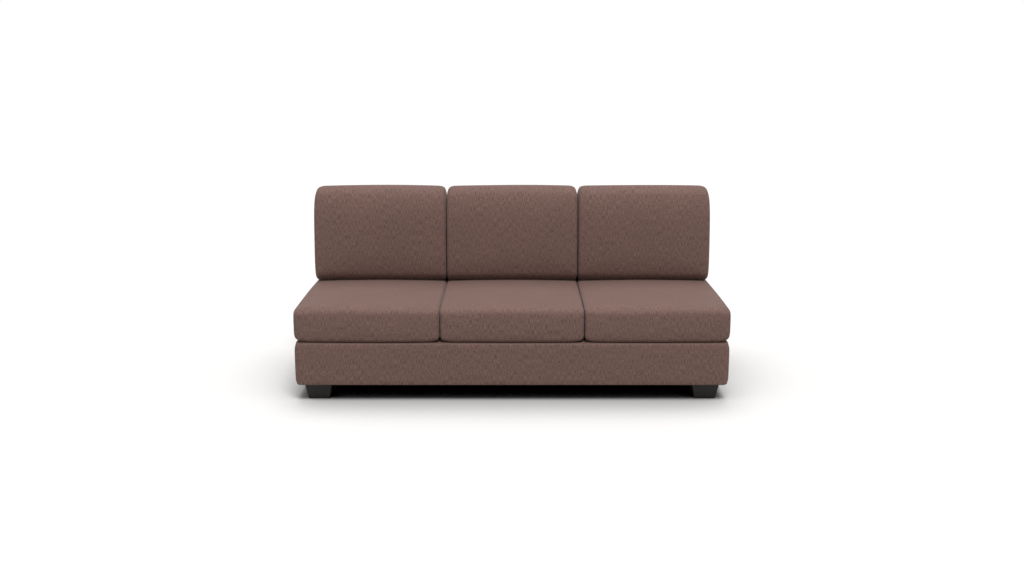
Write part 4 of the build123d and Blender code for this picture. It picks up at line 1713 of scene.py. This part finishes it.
# ------------------------------------------------------------------ covers of the frame
@dataclass
class FrameCovers:
    """The cloth on the base and the fixed back, the deck and the dust cover.

    hem is how far the base's cloth goes under, lip how far it goes over the top, side_pad and
    front_pad how far it bulges, front_dip how far its top sinks at the front, and pad_inset how
    far the inside back's foam is drawn in by its cloth.
    """

    finishes: Finishes
    rows: RowMaker
    edge_round: float = 4.5
    plan_round: float = 20.0
    hem: float = 45.0
    lip: float = 70.0
    cloth: float = 1.6
    top_round: float = 25.0
    side_pad: float = 8.5
    front_pad: float = 1.0
    front_dip: float = 6.5
    pad_inset: float = 3.0
    over_panel: float = 1.8
    panel_turn: float = 1.7
    panel_swell: float = 0.9
    dust_sag: float = 1.5
    stitch: Row = Row(spacing=6.0, along=4.2, across=0.8, thick=0.7)

    def __post_init__(self) -> None:
        """Read the covers' places."""
        self.base_box = Extent.of("base_cover")
        self.deck_box = Extent.of("deck_cover")
        self.back_box = Extent.of("back_inner_cover")
        self.panel_box = Extent.of("back_outer_cover")
        self.dust_box = Extent.of("dust_cover")

    def make(self) -> None:
        """Make every cover."""
        self.make_base()
        self.make_edge_roll()
        self.make_back()
        self.make_back_pad()
        self.make_panel()
        self.make_deck()
        self.make_dust_cover()

    @staticmethod
    def keep_faces(grid: Grid, keep: Callable[[Array], bool]) -> tuple[list, list]:
        """Leave out the faces that a cover doesn't have.

        Args:
            grid: the whole form.
            keep: says whether a face stays, from its centre on the plain form.

        Returns:
            The faces that stay, with their fabric coordinates.
        """
        chosen = [i for i, face in enumerate(grid.faces) if keep(grid.points[list(face)].mean(axis=0))]
        return [grid.faces[i] for i in chosen], [grid.uvs[i] for i in chosen]

    def sheet(
        self,
        name: str,
        points: Array,
        faces: list,
        uvs: list,
        slot: str,
        nodes: Sequence[str],
    ) -> Piece:
        """Make one cover as a sheet with its thickness.

        Args:
            name: the piece's name.
            points: its points, in millimetres.
            faces: its faces.
            uvs: their fabric coordinates.
            slot: its material slot.
            nodes: the nodes that it stands for.

        Returns:
            The finished piece.
        """
        piece = new_mesh(name, points, faces, self.finishes[slot], uvs)
        shape = bmesh.new()
        shape.from_mesh(piece.data)
        loose = [v for v in shape.verts if not v.link_faces]
        bmesh.ops.delete(shape, geom=loose, context="VERTS")
        area = sum(f.calc_area() for f in shape.faces)
        shape.to_mesh(piece.data)
        shape.free()
        self.face_out(piece)
        thicken(piece, self.cloth)
        hand_over(piece, Body.FRAME.value, nodes)
        return piece

    def flat_cover(
        self,
        name: str,
        columns: Array,
        rows: Array,
        place: Callable[[float, float], tuple[float, float, float]],
        thickness: float,
        slot: str,
        node: str,
        facing: tuple[float, float, float] | None = None,
    ) -> None:
        """Make a cover that is one flat rectangle of cloth.

        Args:
            name: the piece's name.
            columns: places of its lines along the sofa.
            rows: places of its lines the other way.
            place: gives the point of a column and a row, in millimetres.
            thickness: the cloth's thickness.
            slot: its material slot.
            node: the node that it stands for, and whose size it has.
            facing: the way that its good side faces, where that matters.
        """
        points = np.array([place(u, v) for u in columns for v in rows])
        marks = [(u * MM, v * MM) for u in columns for v in rows]
        faces = grid_faces(len(columns), len(rows))
        uvs = [tuple(marks[q] for q in face) for face in faces]
        piece = new_mesh(name, points, faces, self.finishes[slot], uvs)
        if facing and np.dot(piece.data.polygons[len(faces) // 2].normal, facing) < 0:
            piece.data.flip_normals()
        thicken(piece, thickness)
        hand_over(piece, Body.FRAME.value, [node])

    def sew(self, name: str, corners: Sequence[tuple], facing: tuple[float, float, float]) -> None:
        """Sew a run of stitches through corners."""
        run = stitch_run(corners, facing)
        stitches = self.rows.lay(name, [run], self.stitch, self.finishes["thread"])
        hand_over(stitches, Body.FRAME.value)

    def round_plan(self, points: Array, half: float, front: float) -> Array:
        """Round the two front corners of the base's plan.

        Args:
            points: points of a square-cornered form.
            half: half of its length.
            front: its front.

        Returns:
            The moved points.
        """
        x, y, _ = points.T
        ahead = 1 - smooth_step(0, 60, y - front)
        moved = points.copy()
        moved[:, 1] += ahead * edge_fall(half - np.abs(x), self.plan_round, self.plan_round)
        return moved

    @staticmethod
    def face_out(piece: Piece) -> None:
        """Turn an open sheet's faces away from the middle of the sofa's frame."""
        mesh = piece.data
        middle = np.mean([v.co for v in mesh.vertices], axis=0)
        outward = sum(np.dot(np.array(p.center) - middle, p.normal) * p.area for p in mesh.polygons)
        if outward < 0:
            mesh.flip_normals()

    def make_base(self) -> None:
        """Make the base's cover, from the hem under the rails to the lip round the deck."""
        box = self.base_box
        half, front, rear = box.half_x, box.low[1], box.high[1]
        low, top = box.low[2], box.high[2]
        deck = self.deck_box
        across = tuple(half - inward for inward in (6.5, 9.5, 13, 17, 22, 30, self.hem, self.lip))
        form = RoundedForm(
            half=half,
            front=front,
            rear=rear,
            low=low,
            top=top,
            rounds=(self.edge_round,) * 4,
            end_round=self.edge_round - 0.5,
            step=18,
            x_knots=(*(-x for x in across), *across[::-1]),
            y_knots=(front + self.hem, deck.low[1], deck.high[1]),
            end_angles=(0, 22, 45, 68, 90),
            arc_steps=4,
        )
        grid = form.grid()

        def keep(centre: Array) -> bool:
            """Whether the cover has cloth there."""
            x, y, z = centre
            inside = half - abs(x)
            if y > rear - self.edge_round and z > low + 1 and z < top - 1 and inside > 1:
                return False
            if z > top - 1 and inside > self.lip and y > deck.low[1]:
                return False
            if z > top - 1 and inside > self.edge_round and y > deck.high[1]:
                return False
            return not (z < low + 1 and inside > self.hem and y > front + self.hem)

        faces, uvs = self.keep_faces(grid, keep)
        moved = self.round_plan(grid.points, half, front)
        x, y, z = grid.points.T
        edge = half - np.abs(x)
        up = np.clip((z - low) / (top - low), 0, 1)
        pad = (1 - (2 * up - 1) ** 8) * (1 - smooth_step(rear - 160, rear - 20, y))
        moved[:, 1] -= (1 - smooth_step(0, 10, y - front)) * self.front_pad * pad
        moved[:, 0] += np.sign(x) * (1 - smooth_step(0, 10, edge)) * self.side_pad * pad
        moved[:, 2] -= smooth_step(0.5, 1, up) * edge_fall(y - front, 34, self.front_dip)
        self.sheet("base_upholstery", moved, faces, uvs, "brown_weave", ["base_cover"])

    def make_edge_roll(self) -> None:
        """Make the firm roll under the lip, along the front and both sides."""
        box, deck = Extent.of("edge_roll"), self.deck_box
        top = box.high[2] - self.front_dip
        width = (box.half_x - deck.half_x) / 2
        front = RoundedForm(
            half=box.half_x,
            front=box.low[1],
            rear=deck.low[1] - 1,
            low=box.low[2],
            top=top,
            rounds=(6, 4, 6, 8),
            end_round=3.5,
            x_knots=(10 - box.half_x, 20 - box.half_x, box.half_x - 20, box.half_x - 10),
        ).grid()
        bar = RoundedForm(
            half=width - 0.5,
            front=deck.low[1] - 0.5,
            rear=box.high[1],
            low=box.low[2],
            top=top,
            rounds=(4, 4, 6, 6),
            end_round=3.5,
        ).grid()
        points = [self.round_plan(front.points, box.half_x, box.low[1])]
        points += [bar.points + (side * (box.half_x - width), 0, 0) for side in (-1, 1)]
        faces, first = [], 0
        for grid in (front, bar, bar):
            faces += [tuple(first + i for i in face) for face in grid.faces]
            first += len(grid.points)
        piece = new_mesh("firm_edge", np.vstack(points), faces, self.finishes["foam"])
        hand_over(piece, Body.FRAME.value, ["edge_roll"])

    def make_back(self) -> None:
        """Make the fixed back's cover: inside back, top and sides."""
        box = self.back_box
        half, front, rear = box.half_x, box.low[1], box.high[1] + self.over_panel
        low, top = box.low[2] - 1.0, box.high[2]
        small = 5.0
        form = RoundedForm(
            half=half,
            front=front,
            rear=rear,
            low=low,
            top=top,
            rounds=(3.0, small, small, self.top_round),
            end_round=small - 1,
            step=18,
            end_angles=(0, 22, 45, 68, 90),
        )
        grid = form.grid()

        def keep(centre: Array) -> bool:
            """Whether the cover has cloth there."""
            x, y, z = centre
            inside = half - abs(x)
            if z < low + 0.2 and inside > 1:
                return False
            return not (y > rear - 1 and inside > 1)

        faces, uvs = self.keep_faces(grid, keep)
        x, y, z = grid.points.T
        slope = math.tan(math.radians(LEAN_DEGREES))
        deep = np.clip((rear - y) / (rear - front), 0, 1)
        moved = grid.points.copy()
        moved[:, 1] += deep * slope * (z - low)
        edge = half - np.abs(x)
        up = np.clip((z - low) / (top - low), 0, 1)
        moved[:, 0] += np.sign(x) * (1 - smooth_step(0, 8, edge)) * 1.6 * (1 - (2 * up - 1) ** 4)
        self.sheet("back_upholstery", moved, faces, uvs, "brown_weave", ["back_inner_cover"])

    def make_back_pad(self) -> None:
        """Make the foam under the inside back, with the soft edges that its cloth pulls round."""
        box = Extent.of("back_foam")
        slope = math.tan(math.radians(LEAN_DEGREES))
        form = RoundedForm(
            half=box.half_x - self.pad_inset,
            front=box.low[1] + self.pad_inset,
            rear=box.high[1] - slope * (box.high[2] - box.low[2]),
            low=box.low[2] + 0.5,
            top=box.high[2],
            rounds=(7, 4, 7, 7),
            end_round=6,
            step=30,
        )
        grid = form.grid()
        grid.points[:, 1] += slope * (grid.points[:, 2] - form.low)
        piece = new_mesh("back_pad", grid.points, grid.faces, self.finishes["foam"])
        hand_over(piece, Body.FRAME.value, ["back_foam"])

    def make_panel(self) -> None:
        """Make the outside back, pulled over the rails and slip-stitched down its edges."""
        box = self.panel_box
        half, low, top = box.half_x, box.low[2], box.high[2]
        width, height = 2 * half, top - low
        edge_lines = (0, 1.2, 3, 6)

        def lines(length: float, count: int) -> Array:
            """Places of grid lines, close together at both edges."""
            ends = [length - v for v in reversed(edge_lines)]
            return np.concatenate([edge_lines, np.linspace(14, length - 14, count), ends])

        def place(u: float, v: float) -> tuple[float, float, float]:
            """A point of the panel, with its turned edges, its swell and its slight pulls."""
            edge_u, edge_v = min(u, width - u), min(v, height - v)
            drop = edge_fall(np.array(min(edge_u, edge_v)), 5.0, self.panel_turn)
            pull = 0.5 * math.sin(u / 47.0) * math.exp(-edge_v / 60) + 0.25 * math.sin(u / 171 + v / 95)
            swell = self.panel_swell * (1 - ((v / height) * 2 - 1) ** 2)
            inner = min(1.0, edge_v / 30) * min(1.0, edge_u / 30)
            return u - half, box.high[1] - drop + (swell + pull * 0.5) * inner, low + v

        self.flat_cover(
            "back_panel",
            lines(width, 110),
            lines(height, 44),
            place,
            self.cloth,
            "brown_weave",
            "back_outer_cover",
            facing=(0, 1, 0),
        )
        side, y, foot, head = half - 5.5, box.high[1] - 0.1, low + 12, top - 5.5
        corners = [(-side, y, foot), (-side, y, head), (side, y, head), (side, y, foot)]
        self.sew("back_panel_stitches", corners, (0.0, 1.0, 0.0))

    @staticmethod
    def inward(box: Extent, x: float, y: float) -> float:
        """How far a place is in from the nearest edge of a box's plan."""
        return min(x - box.low[0], box.high[0] - x, y - box.low[1], box.high[1] - y)

    def make_deck(self) -> None:
        """Make the deck's cloth, stretched over its foam and seamed to the lip."""
        box = self.deck_box

        def place(x: float, y: float) -> tuple[float, float, float]:
            """A point of the deck, drawn down at its seam and uneven over the springs."""
            edge = self.inward(box, x, y)
            uneven = 0.35 * (1 + math.sin(x / 83) * math.sin(y / 61)) * min(1, edge / 40)
            return x, y, box.high[2] - 0.1 - (0.9 * math.exp(-edge / 5) + uneven)

        self.flat_cover(
            "deck_platform",
            spaced((box.low[0], box.high[0]), 24),
            spaced((box.low[1], box.high[1]), 24),
            place,
            0.9,
            "deck_cloth",
            "deck_cover",
            facing=(0, 0, 1),
        )
        out, z = 3.0, self.base_box.high[2] + 0.1
        left, right = box.low[0] - out, box.high[0] + out
        front, rear = box.low[1] - out, box.high[1] - 2
        corners = [(left, rear, z), (left, front, z), (right, front, z), (right, rear, z)]
        self.sew("deck_stitches", corners, (0.0, 0.0, 1.0))

    def make_dust_cover(self) -> None:
        """Make the cloth stapled under the frame, which sags between its edges."""
        box = self.dust_box

        def place(x: float, y: float) -> tuple[float, float, float]:
            """A point of the cloth."""
            sag = self.dust_sag * float(smooth_step(30, 220, np.array(self.inward(box, x, y))))
            return x, y, box.low[2] + 0.7 - sag

        self.flat_cover(
            "dust_sheet",
            spaced((box.low[0], box.low[0] + 14, box.high[0] - 14, box.high[0]), 26),
            spaced((box.low[1], box.low[1] + 14, box.high[1] - 14, box.high[1]), 26),
            place,
            0.5,
            "dust_cloth",
            "dust_cover",
        )


# ------------------------------------------------------------------ studio
@dataclass(frozen=True)
class Lamp:
    """A distant soft light: its height above the horizon and its turn from the front, in degrees."""

    name: str
    strength: float
    height: float
    turn: float
    spread: float
    colour: Colour = (1.0, 0.985, 0.965)

    def hang(self) -> None:
        """Add the light to the scene."""
        data = bpy.data.lights.new(self.name, "SUN")
        data.energy = self.strength
        data.angle = math.radians(self.spread)
        data.color = self.colour
        lamp = bpy.data.objects.new(self.name, data)
        bpy.context.scene.collection.objects.link(lamp)
        turned = Matrix.Rotation(math.radians(self.turn), 4, "Z")
        lamp.matrix_world = turned @ Matrix.Rotation(math.radians(90 - self.height), 4, "X")


@dataclass(frozen=True)
class Studio:
    """Camera, lights and the pale floor.

    floor_white is the floor that the camera sees and floor_bounce the one that lights the sofa.
    Where the sofa stands within shade_reach metres of the floor, painted shade darkens the floor's colour.
    """

    camera_place: tuple[float, float, float] = (0.0, -5.9365, 1.708)
    camera_dip: float = 12.145
    lens: float = 43.45
    world: float = 0.5
    lamps: tuple[Lamp, ...] = (
        Lamp("key", strength=2.35, height=62.0, turn=12.0, spread=26.0),
        Lamp("rim", strength=1.08, height=68.0, turn=180.0, spread=34.0),
    )
    floor_half: float = 30.0
    floor_white: float = 0.72
    floor_bounce: float = 0.46
    shade_reach: float = 0.68
    shade_curve: float = 0.48
    shade_range: tuple[float, float] = (0.12, 0.9)

    def make(self) -> None:
        """Set the studio up."""
        self.make_camera()
        self.make_world()
        for lamp in self.lamps:
            lamp.hang()
        self.make_floor()
        bpy.context.scene.view_settings.view_transform = "Standard"

    def make_camera(self) -> None:
        """Place the camera at the photograph's angle."""
        data = bpy.data.cameras.new("camera")
        data.lens, data.sensor_width = self.lens, 36.0
        camera = bpy.data.objects.new("camera", data)
        bpy.context.scene.collection.objects.link(camera)
        camera.location = self.camera_place
        camera.rotation_euler = (math.radians(90 - self.camera_dip), 0, 0)
        bpy.context.scene.camera = camera

    def make_world(self) -> None:
        """Light the sofa evenly from all round, with a white that only the camera sees."""
        world = bpy.data.worlds.new("studio")
        world.use_nodes = True
        bpy.context.scene.world = world
        tree = world.node_tree
        light = tree.nodes["Background"]
        seen = tree.nodes.new("ShaderNodeLightPath").outputs
        level = tree.nodes.new("ShaderNodeMapRange")
        level.inputs["To Min"].default_value = self.world
        level.inputs["To Max"].default_value = 1.0
        tree.links.new(seen["Is Camera Ray"], level.inputs["Value"])
        light.inputs["Color"].default_value = (1, 1, 1, 1)
        tree.links.new(level.outputs[0], light.inputs["Strength"])

    def make_floor(self) -> None:
        """Lay the white floor, dark only where the sofa keeps the light off it, by the lamps' shadows and by
        painted shade in its colour near the sofa.
        """
        shader = Shader("floor")
        light = shader.node("ShaderNodeLightPath").outputs
        level = shader.ramp(light["Is Camera Ray"], 0.0, 1.0, self.floor_bounce, self.floor_white)
        # Painted shade: ambient occlusion within shade_reach darkens the floor's colour under and beside the
        # sofa.
        near = shader.node("ShaderNodeAmbientOcclusion", {"Distance": self.shade_reach}, samples=16)
        open_share = shader.ramp(near.outputs["AO"], *self.shade_range)
        painted_shade_factor = shader.sum("POWER", open_share, self.shade_curve)
        white_with_painted_shade = shader.sum("MULTIPLY", level, painted_shade_factor)
        white = shader.node("ShaderNodeCombineColor", {"Red": white_with_painted_shade, "Green": white_with_painted_shade, "Blue": white_with_painted_shade})
        shader.set(Base_Color=white.outputs[0], Roughness=1.0, Specular_IOR_Level=0.0)
        half = self.floor_half / MM
        points = np.array([(-half, -half, 0), (half, -half, 0), (half, half, 0), (-half, half, 0)])
        floor = new_mesh("floor", points, [(0, 1, 2, 3)], shader.material)


def build_cushions(finishes: Finishes, rows: RowMaker) -> None:
    """Fill and finish all six cushions.

    Args:
        finishes: the sofa's finishes.
        rows: what lays stitches and teeth.
    """
    cushions: list[Cushion] = [SeatCushion(side, finishes, rows) for side in Side]
    cushions += [BackCushion(side, finishes, rows) for side in Side]
    filled: dict[str, Array] = {}
    bench = ClothBench(ClothFeel(), finishes["brown_weave"])
    for cushion in cushions:
        grid, local = cushion.rest()
        bench.lay(f"{cushion.kind}_{cushion.side.value}", local, grid.faces, cushion.hold(grid, local))
    filled = bench.run()
    for cushion in cushions:
        cushion.make(filled.get(f"bench_{cushion.kind}_{cushion.side.value}"))


def main() -> None:
    """Build the finish round the frame."""
    logging.basicConfig(level=logging.INFO, format="%(name)s: %(message)s")
    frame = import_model()
    finishes = Finishes()
    finishes.dress_nodes(frame)
    rows = RowMaker()
    Studio().make()
    build_cushions(finishes, rows)
    FrameCovers(finishes, rows).make()


if __name__ == "__main__":
    main()
